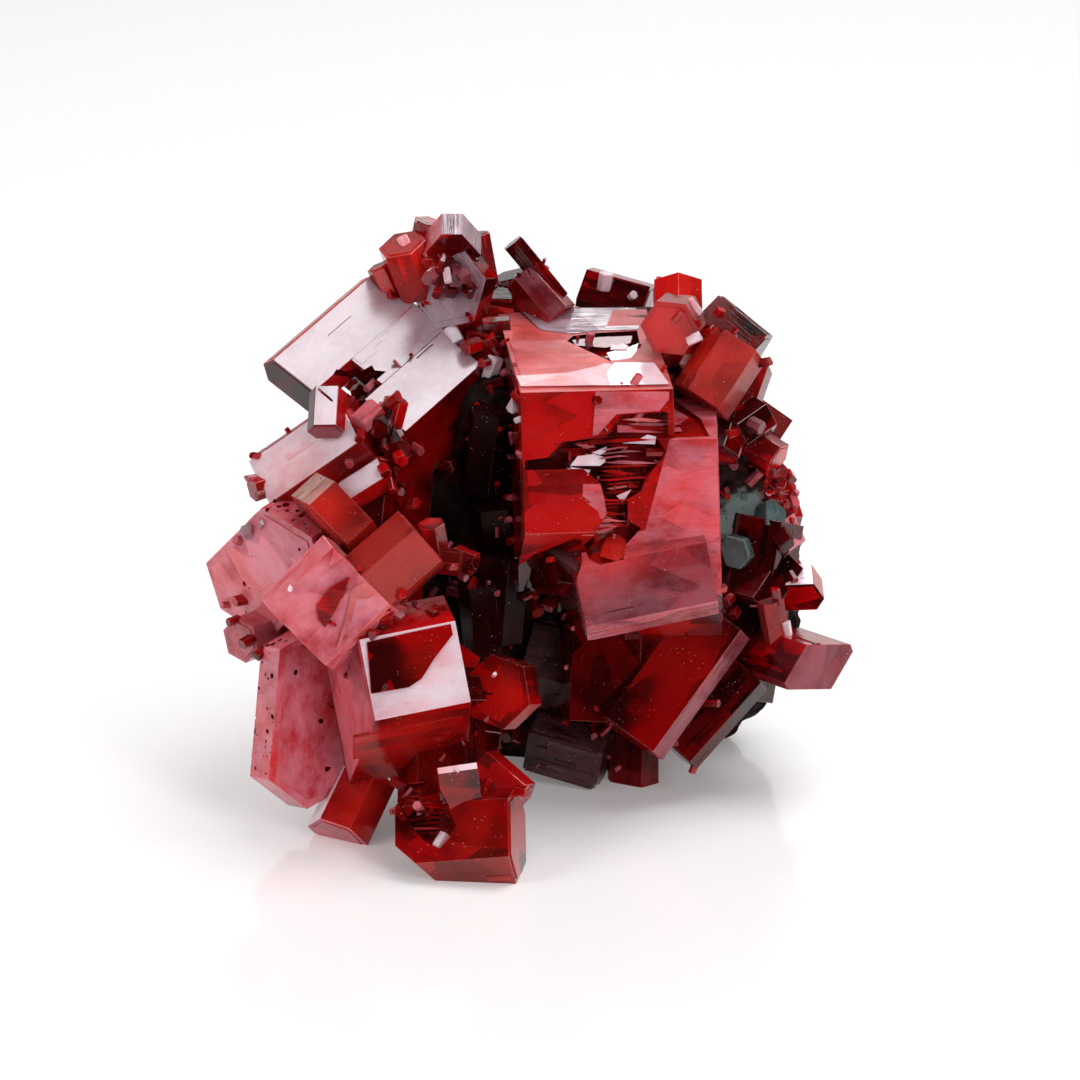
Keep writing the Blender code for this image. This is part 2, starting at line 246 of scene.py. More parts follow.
@dataclass(frozen=True)
class SawEdge:
    """A row of thin pointed blades, one under the next, that all grow from one broken edge."""

    name: str
    across: float
    top: float
    bottom: float
    reach: float
    count: int
    seed: int
    lift: float = -0.35
    tones: tuple = (RED, DUSTY, RED, DEEP, SALMON)

    def shards(self) -> list[Shard]:
        """Draws the blades, each a little different.

        Returns:
            The blades, from the top down.
        """
        draw = random.Random(self.seed)
        made = []
        pitch = (self.top - self.bottom) / self.count
        for number in range(self.count):
            up = self.top - pitch * (number + 0.5)
            near = self.across + draw.uniform(-0.5, 0.6)
            far = near + self.reach * draw.uniform(0.45, 1.0)
            high, low = pitch * draw.uniform(0.3, 0.6), pitch * draw.uniform(0.15, 0.45)
            bend = draw.uniform(-0.25, 0.25)
            lift = self.lift + draw.uniform(-0.4, 0.25)
            points = (
                (near, up), (near + 0.3 * (far - near), up + high),
                (near + 0.7 * (far - near), up + 0.6 * high + bend), (far, up + bend),
                (near + 0.6 * (far - near), up - low + bend), (near + 0.2 * (far - near), up - low),
            )
            tone = self.tones[draw.randrange(len(self.tones))]
            made.append(Shard(f"{self.name}_{number}", points, lift, draw.uniform(0.9, 1.7), tone))
        return made


@dataclass(frozen=True)
class PaintedGlow:
    """A painted glow: a ball inside the stone, coloured as if light came through, at a display-frame point.
    """

    at: Triple
    reach: float
    strength: float


@dataclass(frozen=True)
class Sprout:
    """A small crystal seated on whatever the eye meets at (across, up) on the display plane."""

    across: float
    up: float
    width: float
    length: float
    heading: float
    tilt: float
    tone: Tone


def display_to_world(point: Sequence[float]) -> Vector:
    """Turns a display-frame point into a world point.

    Args:
        point: Across, up and forward, in millimetres.

    Returns:
        The world point, in millimetres.
    """
    pitch = math.radians(DISPLAY_PITCH)
    across, up, forward = point
    turned = Vector((
        across,
        up * math.sin(pitch) - forward * math.cos(pitch),
        up * math.cos(pitch) + forward * math.sin(pitch),
    ))
    return DISPLAY_ORIGIN + turned


def display_direction(way: Sequence[float]) -> Vector:
    """Turns a display-frame direction into a world direction of length 1."""
    return (display_to_world(way) - DISPLAY_ORIGIN).normalized()


def frame_at(start: Vector, ways: Iterable[Vector]) -> Matrix:
    """The matrix to the world, in metres, from a frame that is in millimetres.

    Args:
        start: The frame's origin, as a display-frame point.
        ways: Its three directions, in the display frame.

    Returns:
        The matrix.
    """
    origin = display_to_world(start)
    columns = [display_to_world(start + way) - origin for way in ways]
    turn = Matrix(columns).transposed().to_4x4()
    return Matrix.Scale(MM, 4) @ Matrix.Translation(origin) @ turn


def random_way(draw: random.Random) -> Vector:
    """A vector that points any way."""
    return Vector([draw.gauss(0, 1) for _ in range(3)])


def link(thing: bpy.types.Object) -> bpy.types.Object:
    """Puts an object into the scene."""
    bpy.context.scene.collection.objects.link(thing)
    return thing


def seen_at(across: float, up: float, forward: float) -> Vector:
    """The display-frame point that shows at (across, up) on the display plane.

    Args:
        across: Millimetres to the right on the display plane.
        up: Millimetres up on the display plane.
        forward: How far in front of the display plane the point lies.

    Returns:
        The display-frame point, in millimetres.
    """
    share = (EYE_DISTANCE - forward) / EYE_DISTANCE
    return Vector((across * share, up * share, forward))


class FacetMesh:
    """Makes closed flat-faced meshes whose faces keep their finish, grain, painted edge highlight and tone.
    """

    def __init__(self, name: str, materials: Sequence[bpy.types.Material]) -> None:
        """Keeps the name and the materials that every mesh of the set carries."""
        self.name = name
        self.materials = list(materials)
        self.made = 0

    def new_object(self, shape: bmesh.types.BMesh, matrix: Matrix) -> bpy.types.Object:
        """Turns a finished bmesh into an unlinked object.

        Args:
            shape: The mesh, in its own frame; it is freed.
            matrix: From that frame to the world.

        Returns:
            The object, at the world's origin.
        """
        bmesh.ops.transform(shape, matrix=matrix, verts=shape.verts[:])
        bmesh.ops.recalc_face_normals(shape, faces=shape.faces[:])
        self.made += 1
        mesh = bpy.data.meshes.new(f"{self.name}_{self.made}")
        shape.to_mesh(mesh)
        shape.free()
        for material in self.materials:
            mesh.materials.append(material)
        return bpy.data.objects.new(mesh.name, mesh)

    @staticmethod
    def new_shape() -> bmesh.types.BMesh:
        """Starts an empty bmesh.

        Returns:
            The bmesh, with the layers that every crystal carries.
        """
        shape = bmesh.new()
        shape.loops.layers.uv.new(GRAIN_LAYER)
        shape.loops.layers.uv.new(HIGHLIGHT_LAYER)
        return shape

    def cut_block(self, planes: Sequence[tuple[Vector, float]]) -> bmesh.types.BMesh:
        """Cuts a block down to the inside of every plane, each cut closed by one face.

        Args:
            planes: Each plane's direction and distance.

        Returns:
            The shape.
        """
        shape = self.new_shape()
        bmesh.ops.create_cube(shape, size=BLANK_SIDE)
        for direction, distance in planes:
            cut = bmesh.ops.bisect_plane(
                shape,
                geom=shape.verts[:] + shape.edges[:] + shape.faces[:],
                plane_co=direction * distance,
                plane_no=direction,
                clear_outer=True,
            )
            rim = [item for item in cut["geom_cut"] if isinstance(item, bmesh.types.BMEdge)]
            if rim:
                bmesh.ops.contextual_create(shape, geom=rim)
        return shape

    @staticmethod
    def round_edges(shape: bmesh.types.BMesh, offset: float) -> set:
        """Bevels every edge.

        Args:
            shape: The mesh.
            offset: The bevel's reach from each edge.

        Returns:
            The faces that this made.
        """
        rounded = bmesh.ops.bevel(
            shape, geom=shape.edges[:], offset=offset, segments=1, affect="EDGES", clamp_overlap=True
        )
        return set(rounded["faces"])

    @staticmethod
    def walls(shape: bmesh.types.BMesh, out: Vector) -> set:
        """The faces that don't look along a direction or against it."""
        shape.normal_update()
        return {face for face in shape.faces if abs(face.normal.dot(out)) < 0.5}

    @staticmethod
    def mark(
        shape: bmesh.types.BMesh,
        planes: Sequence[tuple[Vector, float]],
        tones: dict[int, Tone],
        tone: Tone,
        highlit: set,
        draw: random.Random,
    ) -> None:
        """Writes each face's material, grain coordinates, painted edge highlight mark and random tone.

        Args:
            shape: The crystal, in its own frame.
            planes: Its planes; the face takes its grain from the one that it lies along.
            tones: The finish of faces that differ from the rest.
            tone: The finish of the rest.
            highlit: The faces that an edge's rounding made; they get the painted edge highlight.
            draw: Moves the grain along, so that no two crystals share it.
        """
        grain = shape.loops.layers.uv[GRAIN_LAYER]
        wear = shape.loops.layers.uv[HIGHLIGHT_LAYER]
        shift = draw.uniform(0.0, GRAIN_SPAN)
        shape.normal_update()
        for face in shape.faces:
            number = max(range(len(planes)), key=lambda item: face.normal.dot(planes[item][0]))
            way = planes[number][0]
            face.material_index = tones.get(number, tone).value
            is_end = abs(way.z) >= 0.9
            across = Vector((1.0, 0.0, 0.0)) if is_end else Vector((-way.y, way.x, 0.0))
            along = Vector((0.0, 1.0, 0.0)) if is_end else Vector((0.0, 0.0, 1.0))
            for loop in face.loops:
                place = loop.vert.co
                loop[grain].uv = (
                    place.dot(across) + shift + 7.3 * number,
                    place.dot(along) + 3.1 * shift,
                )
                # X marks the painted edge highlight; Y is a random tone for the face.
                loop[wear].uv = (1.0 if face in highlit else 0.0, (shift + 0.37 * number) % 1.0)


class CrystalMaker:
    """Builds one crystal with the steps, grooves and pits of its growth."""

    def __init__(self, facets: FacetMesh, seed: int) -> None:
        """Keeps the mesh maker and starts the seeded draws."""
        self.facets = facets
        self.draw = random.Random(seed)

    def body(self, prism: Prism, grow: float = 0.0) -> bpy.types.Object:
        """The crystal itself, with its edges slightly rounded.

        Args:
            prism: The crystal.
            grow: How far every face moves out, in millimetres.

        Returns:
            The object.
        """
        planes = prism.planes(grow)
        shape = self.facets.cut_block(planes)
        highlit: set = set()
        if grow == 0.0:
            smallest = min(min(prism.sides), prism.length)
            # The rounded edges get the painted edge highlight.
            highlit = self.facets.round_edges(shape, min(EDGE_ROUND, EDGE_ROUND_SHARE * smallest))
        self.facets.mark(shape, planes, dict(prism.dressed), prism.tone, highlit, self.draw)
        return self.facets.new_object(shape, prism.placement())

    def sheet(
        self,
        prism: Prism,
        number: int,
        span: tuple[float, float],
        reach: tuple[float, float],
        rise: float,
        sunk: float,
    ) -> bpy.types.Object:
        """A box on or in a side face: a growth layer if added, a groove if cut away.

        Args:
            prism: The crystal.
            number: The side face, 0 to 5.
            span: Where it starts and ends across the face.
            reach: Where it starts and ends along the axis.
            rise: How far it stands out of the face.
            sunk: How far it goes into the crystal.

        Returns:
            The object.
        """
        out, across = prism.face_ways(number)
        distance = prism.distances()[number]
        axis = Vector((0.0, 0.0, 1.0))
        planes = [
            (out, distance + rise), (-out, sunk - distance), (across, span[1]), (-across, -span[0]),
            (axis, reach[1]), (-axis, -reach[0]),
        ]
        shape = self.facets.cut_block(planes)
        own = dict(prism.dressed).get(number, prism.tone)
        # The layer's side walls get the painted edge highlight.
        self.facets.mark(shape, planes, {}, own, self.facets.walls(shape, out), self.draw)
        return self.facets.new_object(shape, prism.placement())

    def layers(self, prism: Prism) -> list[bpy.types.Object]:
        """Lays growth layers on the crystal's side faces, each ended by uneven steps.

        Args:
            prism: The crystal.

        Returns:
            The layers, three strips to each.
        """
        made = []
        for _ in range(prism.steps):
            number = self.draw.randrange(6)
            low, high = prism.face_span(number)
            width = high - low
            margin = LAYER_MARGIN * width
            left = low + margin + self.draw.uniform(0.0, 0.6) * width
            right = min(high - margin, left + self.draw.uniform(0.12, 0.6) * width)
            if right - left < NARROWEST_LAYER:
                continue
            lengths = [self.draw.uniform(0.15, 0.95) for _ in range(2)]
            rise = prism.rise * self.draw.uniform(0.3, 1.0)
            for part in range(3):
                near = left + (right - left) * part / 3
                far = left + (right - left) * (part + 1) / 3
                share = lengths[0] + (lengths[1] - lengths[0]) * part / 2
                share = min(0.97, max(0.06, share + self.draw.uniform(-0.12, 0.12)))
                reach = (-prism.length * share, -0.03 * prism.length)
                if self.draw.random() < FAR_END_CHANCE:
                    reach = (-prism.length * 0.97, -prism.length * (1 - share))
                height = rise * self.draw.uniform(0.75, 1.0)
                overlap = STRIP_OVERLAP * (right - left)
                span = (near - overlap, min(far + overlap, high - 0.02))
                made.append(self.sheet(prism, number, span, reach, height, LAYER_ROOT))
        return made

    def cap(self, prism: Prism) -> bpy.types.Object:
        """Raises the middle of the crystal's near end.

        Args:
            prism: The crystal.

        Returns:
            The raised plate.
        """
        inset = 0.12 * min(prism.sides) + 0.1
        height = prism.rise * self.draw.uniform(0.5, 1.0)
        planes = [(way, distance - inset) for way, distance in prism.planes()]
        near_end, far_end = planes[6][0], planes[7][0]
        planes[6:8] = (near_end, height), (far_end, CAP_ROOT)
        shape = self.facets.cut_block(planes)
        own = dict(prism.dressed).get(6, prism.tone)
        # The plate's side walls get the painted edge highlight.
        self.facets.mark(shape, planes, {}, own, self.facets.walls(shape, near_end), self.draw)
        return self.facets.new_object(shape, prism.placement())

    def grooves(self, prism: Prism) -> list[bpy.types.Object]:
        """Cutters for the fine furrows along the crystal's side faces.

        Args:
            prism: The crystal; a short one has no furrows.

        Returns:
            The cutters.
        """
        made = []
        if prism.length < FURROWED_LENGTH:
            return made
        for _ in range(prism.steps):
            number = self.draw.randrange(6)
            low, high = prism.face_span(number)
            width = self.draw.uniform(0.06, 0.16)
            left = self.draw.uniform(low + 0.3, high - 0.3 - width)
            start = self.draw.uniform(0.0, 0.75) * prism.length
            end = min(prism.length * 0.98, start + self.draw.uniform(0.1, 0.4) * prism.length)
            depth = self.draw.uniform(0.06, 0.16)
            reach = (-end, -start)
            made.append(self.sheet(prism, number, (left, left + width), reach, 0.4, depth))
        return made

    def pits(self, prism: Prism, faces: Iterable[int]) -> list[bpy.types.Object]:
        """Cutters for six-sided pits, lined with deep red.

        Args:
            prism: The crystal.
            faces: The faces that are pitted; 6 is the near end.

        Returns:
            The cutters.
        """
        made = []
        distances = prism.distances()
        for number in faces:
            for _ in range(prism.pits):
                size = 0.16 + 0.5 * self.draw.random() ** 3
                if number < 6:
                    out, across = prism.face_ways(number)
                    low, high = prism.face_span(number)
                    spot = out * distances[number] + across * self.draw.uniform(low, high)
                    spot.z = -self.draw.uniform(0.02, 0.98) * prism.length
                else:
                    out = Vector((0.0, 0.0, 1.0))
                    reach = 1.1 * max(distances)
                    spot = Vector([self.draw.uniform(-reach, reach) for _ in range(2)] + [0.0])
                made.append(self.pit(prism, spot, out, size))
        return made

    def pit(self, prism: Prism, spot: Vector, out: Vector, size: float) -> bpy.types.Object:
        """One six-sided pit cutter at a spot of a face.

        Args:
            prism: The crystal.
            spot: The pit's middle, in the crystal's own frame.
            out: The face's direction there.
            size: The pit's width.

        Returns:
            The object.
        """
        shape = self.facets.new_shape()
        turn = out.to_track_quat("Z", "Y").to_matrix().to_4x4()
        lean = Matrix.Rotation(self.draw.uniform(0.0, 0.6), 4, "X")
        spin = Matrix.Rotation(self.draw.uniform(0.0, 1.0), 4, "Z")
        stretch = Matrix.Diagonal((1.0, self.draw.uniform(0.6, 1.6), 1.0, 1.0))
        bmesh.ops.create_cone(
            shape,
            cap_ends=True,
            segments=6,
            radius1=size * 0.35,
            radius2=size * 0.62,
            depth=size * 0.9,
            matrix=Matrix.Translation(spot) @ turn @ lean @ spin @ stretch,
        )
        self.facets.mark(shape, prism.planes(), {}, DEEP, set(), self.draw)
        return self.facets.new_object(shape, prism.placement())


class Surface:
    """A mesh that can be asked what lies along a line."""

    def __init__(self, piece: bpy.types.Object) -> None:
        """Reads the triangles, in millimetres.

        Args:
            piece: The mesh that they are read from.
        """
        mesh = piece.data
        mesh.calc_loop_triangles()
        corners = np.empty(len(mesh.vertices) * 3, np.float32)
        mesh.vertices.foreach_get("co", corners)
        self.corners = corners.reshape(-1, 3) / MM
        faces = np.empty(len(mesh.loop_triangles) * 3, np.int32)
        mesh.loop_triangles.foreach_get("vertices", faces)
        self.faces = faces.reshape(-1, 3)
        self.tree = BVHTree.FromPolygons(self.corners.tolist(), self.faces.tolist())

    def forward_at(self, across: float, up: float) -> Optional[float]:
        """Looks at the surface from the eye.

        Args:
            across: Millimetres to the right on the display plane.
            up: Millimetres up on the display plane.

        Returns:
            How far in front of the display plane it is met, or None where it isn't.
        """
        eye = display_to_world((0.0, 0.0, EYE_DISTANCE))
        way = (display_to_world((across, up, 0.0)) - eye).normalized()
        hit = self.tree.ray_cast(eye, way)[0]
        if hit is None:
            return None
        pitch = math.radians(DISPLAY_PITCH)
        offset = hit - DISPLAY_ORIGIN
        return -offset.y * math.cos(pitch) + offset.z * math.sin(pitch)

    def random_spots(self, draw: random.Random, count: int) -> list[tuple[Vector, Vector]]:
        """Spreads points evenly over the surface.

        Args:
            draw: Gives the places.
            count: How many.

        Returns:
            Each point, in world millimetres, with the surface's direction there.
        """
        first, second, third = (self.corners[self.faces[:, item]] for item in range(3))
        normals = np.cross(second - first, third - first)
        areas = np.linalg.norm(normals, axis=1)
        limits = np.cumsum(areas)
        spots = []
        for _ in range(count):
            number = int(np.searchsorted(limits, draw.random() * limits[-1]))
            one, two = sorted((draw.random(), draw.random()))
            place = first[number] * one + second[number] * (two - one) + third[number] * (1 - two)
            if areas[number] > 0:
                spots.append((Vector(place), Vector(normals[number] / areas[number])))
        return spots


def combine(piece: bpy.types.Object, operation: str, others: Sequence[bpy.types.Object]) -> None:
    """Joins closed meshes to a piece, or cuts them out of it, and removes them.

    Args:
        piece: The mesh that changes.
        operation: UNION or DIFFERENCE.
        others: The meshes joined or cut.
    """
    if not others:
        return
    tools = bpy.data.collections.new("tools")
    bpy.context.scene.collection.children.link(tools)
    for other in others:
        tools.objects.link(other)
    modifier = piece.modifiers.new("combine", "BOOLEAN")
    modifier.operation = operation
    modifier.solver = "MANIFOLD"
    modifier.operand_type = "COLLECTION"
    modifier.collection = tools
    graph = bpy.context.evaluated_depsgraph_get()
    made = bpy.data.meshes.new_from_object(piece.evaluated_get(graph))
    piece.modifiers.clear()
    old = piece.data
    name = old.name
    piece.data = made
    bpy.data.meshes.remove(old)
    made.name = name
    for other in others:
        used = other.data
        bpy.data.objects.remove(other, do_unlink=True)
        bpy.data.meshes.remove(used)
    bpy.data.collections.remove(tools)


def keep_largest(piece: bpy.types.Object) -> None:
    """Drops the small chips that the cuts left loose.

    Args:
        piece: The mesh that changes.
    """
    shape = bmesh.new()
    shape.from_mesh(piece.data)
    left = set(shape.verts)
    pieces = []
    while left:
        waiting = [left.pop()]
        found = set(waiting)
        while waiting:
            for edge in waiting.pop().link_edges:
                for vertex in edge.verts:
                    if vertex in left:
                        left.remove(vertex)
                        found.add(vertex)
                        waiting.append(vertex)
        pieces.append(found)
    largest = max(pieces, key=len)
    loose = [vertex for vertex in shape.verts if vertex not in largest]
    bmesh.ops.delete(shape, geom=loose, context="VERTS")
    shape.to_mesh(piece.data)
    shape.free()


def floor_block(facets: FacetMesh) -> bpy.types.Object:
    """Everything below the surface that the specimen stands on.

    Args:
        facets: Makes its mesh.

    Returns:
        The object.
    """
    shape = facets.new_shape()
    place = Matrix.Translation((0.0, 0.0, -FLOOR_BLOCK / 2))
    bmesh.ops.create_cube(shape, size=FLOOR_BLOCK, matrix=place)
    return facets.new_object(shape, Matrix.Scale(MM, 4))


def shard_body(facets: FacetMesh, shard: Shard, surface: Surface) -> bpy.types.Object:
    """A plate with the shard's outline, standing against the surface.

    Args:
        facets: Makes its mesh.
        shard: The outline.
        surface: What it grew on, before anything was cut from it.

    Returns:
        The object.
    """
    middle = [sum(point[item] for point in shard.points) / len(shard.points) for item in (0, 1)]
    shape = facets.new_shape()
    front, back = [], []
    for across, up, *own in shard.points:
        lift = own[0] if own else shard.lift
        under = surface.forward_at(across, up)
        if under is None:
            under = surface.forward_at(*middle) or 0.0
        front.append(shape.verts.new(seen_at(across, up, under + lift)))
        inner = [mid + (edge - mid) * shard.taper for mid, edge in zip(middle, (across, up))]
        back.append(shape.verts.new(seen_at(*inner, under + lift - shard.thick)))
    count = len(front)
    caps = [shape.faces.new(front), shape.faces.new(back[::-1])]
    for number in range(count):
        after = (number + 1) % count
        shape.faces.new((front[number], back[number], back[after], front[after]))
    bmesh.ops.triangulate(shape, faces=caps)
    shape.normal_update()
    grain = shape.loops.layers.uv[GRAIN_LAYER]
    wear = shape.loops.layers.uv[HIGHLIGHT_LAYER]
    # Shards get no painted edge highlight and a middling tone.
    for face in shape.faces:
        face.material_index = shard.tone.value
        for loop in face.loops:
            loop[grain].uv = (loop.vert.co.y, loop.vert.co.x)
            loop[wear].uv = (0.0, 0.5)
    return facets.new_object(shape, frame_at(Vector((0.0, 0.0, 0.0)), Matrix.Identity(3)))


def small_body(
    facets: FacetMesh,
    draw: random.Random,
    foot: Vector,
    axis: Vector,
    width: float,
    length: float,
    tone: Tone,
) -> bpy.types.Object:
    """A small crystal that stands on a point.

    Args:
        facets: Makes its mesh.
        draw: Gives its turn and its uneven sides.
        foot: The middle of its lower end, in world millimetres.
        axis: The way that it grows.
        width: Its width.
        length: Its length.
        tone: Its finish.

    Returns:
        The object.
    """
    planes = []
    turn = draw.uniform(0.0, math.pi)
    for number in range(6):
        angle = turn + math.radians(60 * number)
        distance = width / 2 * draw.uniform(0.5, 1.0)
        planes.append((Vector((math.cos(angle), math.sin(angle), 0.0)), distance))
    planes.append((Vector((0.0, 0.0, 1.0)), length))
    planes.append((Vector((0.0, 0.0, -1.0)), 0.0))
    shape = facets.cut_block(planes)
    # Its rounded edges get the painted edge highlight.
    highlit = facets.round_edges(shape, SMALL_ROUND_SHARE * width)
    facets.mark(shape, planes, {}, tone, highlit, draw)
    place = axis.normalized().to_track_quat("Z", "Y").to_matrix().to_4x4()
    return facets.new_object(shape, Matrix.Scale(MM, 4) @ Matrix.Translation(foot) @ place)


def sprout_body(
    facets: FacetMesh, maker: CrystalMaker, sprout: Sprout, surface: Surface
) -> Optional[bpy.types.Object]:
    """Seats the small crystal of one sprout.

    Args:
        facets: Makes its mesh.
        maker: Gives the seeded draws.
        sprout: What it is like.
        surface: What it stands on.

    Returns:
        The object, or None where the eye meets nothing.
    """
    forward = surface.forward_at(sprout.across, sprout.up)
    if forward is None:
        LOG.info("no seat at %.1f, %.1f", sprout.across, sprout.up)
        return None
    heading = math.radians(sprout.heading)
    tilt = math.radians(sprout.tilt)
    axis = Vector((
        math.cos(tilt) * math.cos(heading), math.cos(tilt) * math.sin(heading), math.sin(tilt)
    ))
    foot = seen_at(sprout.across, sprout.up, forward) - axis * SPROUT_ROOT
    return small_body(
        facets, maker.draw, display_to_world(foot), display_direction(axis),
        sprout.width, SPROUT_STANDS * sprout.length + SPROUT_ROOT, sprout.tone,
    )


def crevice_bodies(
    facets: FacetMesh, maker: CrystalMaker, surface: Surface, count: int
) -> list[bpy.types.Object]:
    """Small crystals in the corners where large ones meet.

    Args:
        facets: Makes their meshes.
        maker: Gives the seeded draws.
        surface: The large crystals.
        count: How many spots are tried.

    Returns:
        The objects.
    """
    made = []
    draw = maker.draw
    for place, way in surface.random_spots(draw, count):
        level = random_way(draw).cross(way)
        if level.length < 0.1 or place.z < 1.0:
            continue
        level.normalize()
        probe = (level + way * 0.12).normalized()
        reach = surface.tree.ray_cast(place + way * 0.05, probe, CREVICE_REACH)[3]
        if reach is None:
            continue
        width = 0.35 + 0.75 * draw.random() ** 2.5
        length = width * draw.uniform(0.7, 1.8)
        axis = (way - level * 0.5 + random_way(draw) * 0.45).normalized()
        tone = draw.choice((RED, DEEP, DEEP, DUSTY))
        foot = place + level * reach * draw.uniform(0.2, 0.9) - axis * width * 0.5
        made.append(small_body(facets, draw, foot, axis, width, length + width * 0.5, tone))
    return made


@dataclass
class Cluster:
    """Crystals that grew into one another, as one closed mesh.

    node is the solid that it stands for, and seed starts its random draws. The other fields are
    filled as it is built.
    """

    name: str
    node: str
    prisms: Sequence[Prism]
    seed: int
    facets: Optional[FacetMesh] = None
    maker: Optional[CrystalMaker] = None
    piece: Optional[bpy.types.Object] = None
    surface: Optional[Surface] = None

    def rough_out(
        self,
        materials: Sequence[bpy.types.Material],
        hollows: Sequence[Shard],
        shards: Sequence[Shard],
    ) -> None:
        """Makes the bodies and their layers, then the furrows, the hollows and what stands in them.

        Args:
            materials: One for each Tone, in order.
            hollows: Where the crystals are broken open.
            shards: Thin plates that stand in the hollows.
        """
        self.facets = FacetMesh(self.name, materials)
        maker = self.maker = CrystalMaker(self.facets, self.seed)
        parts, cutters = [], []
        for prism in self.prisms:
            parts.append(maker.body(prism))
            parts.extend(maker.layers(prism))
            if min(prism.sides) > NARROWEST_CAP:
                parts.append(maker.cap(prism))
            cutters.extend(maker.grooves(prism))
            if prism.pits:
                cutters.extend(maker.pits(prism, PITTED_FACES[prism.name]))
        piece = self.piece = link(parts[0])
        piece.name = piece.data.name = self.name
        combine(piece, "UNION", parts[1:])
        whole = Surface(piece)
        cutters.extend(shard_body(self.facets, shard, whole) for shard in hollows)
        combine(piece, "DIFFERENCE", cutters)
        combine(piece, "UNION", [shard_body(self.facets, shard, whole) for shard in shards])
        self.surface = Surface(piece)

    def complete(
        self, sprouts: Sequence[Sprout], crevice_spots: int, neighbours: Sequence[Prism]
    ) -> None:
        """Adds the small crystals, cuts the foot level and hands the piece over.

        Args:
            sprouts: Small crystals placed one by one.
            crevice_spots: How many spots are tried for small crystals between the large ones.
            neighbours: Crystals of another piece, kept clear of.
        """
        facets, maker, piece = self.facets, self.maker, self.piece
        grown = [sprout_body(facets, maker, sprout, self.surface) for sprout in sprouts]
        grown = [item for item in grown if item is not None]
        grown.extend(crevice_bodies(facets, maker, self.surface, crevice_spots))
        combine(piece, "UNION", grown)
        ground = [floor_block(facets)]
        ground.extend(maker.body(prism, NEIGHBOUR_GAP) for prism in neighbours)
        combine(piece, "DIFFERENCE", ground)
        keep_largest(piece)
        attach(piece, "root")
        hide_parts(self.node)
        LOG.info("%s: %d faces, %d small crystals", self.name, len(piece.data.polygons), len(grown))


def supply(tree: bpy.types.NodeTree, socket: bpy.types.NodeSocket, value: object) -> None:
    """Feeds an input.

    Args:
        tree: Where its node is.
        socket: The input.
        value: Another node's output to link it to, or the fixed value to set.
    """
    if isinstance(value, bpy.types.NodeSocket):
        tree.links.new(value, socket)
    else:
        socket.default_value = value


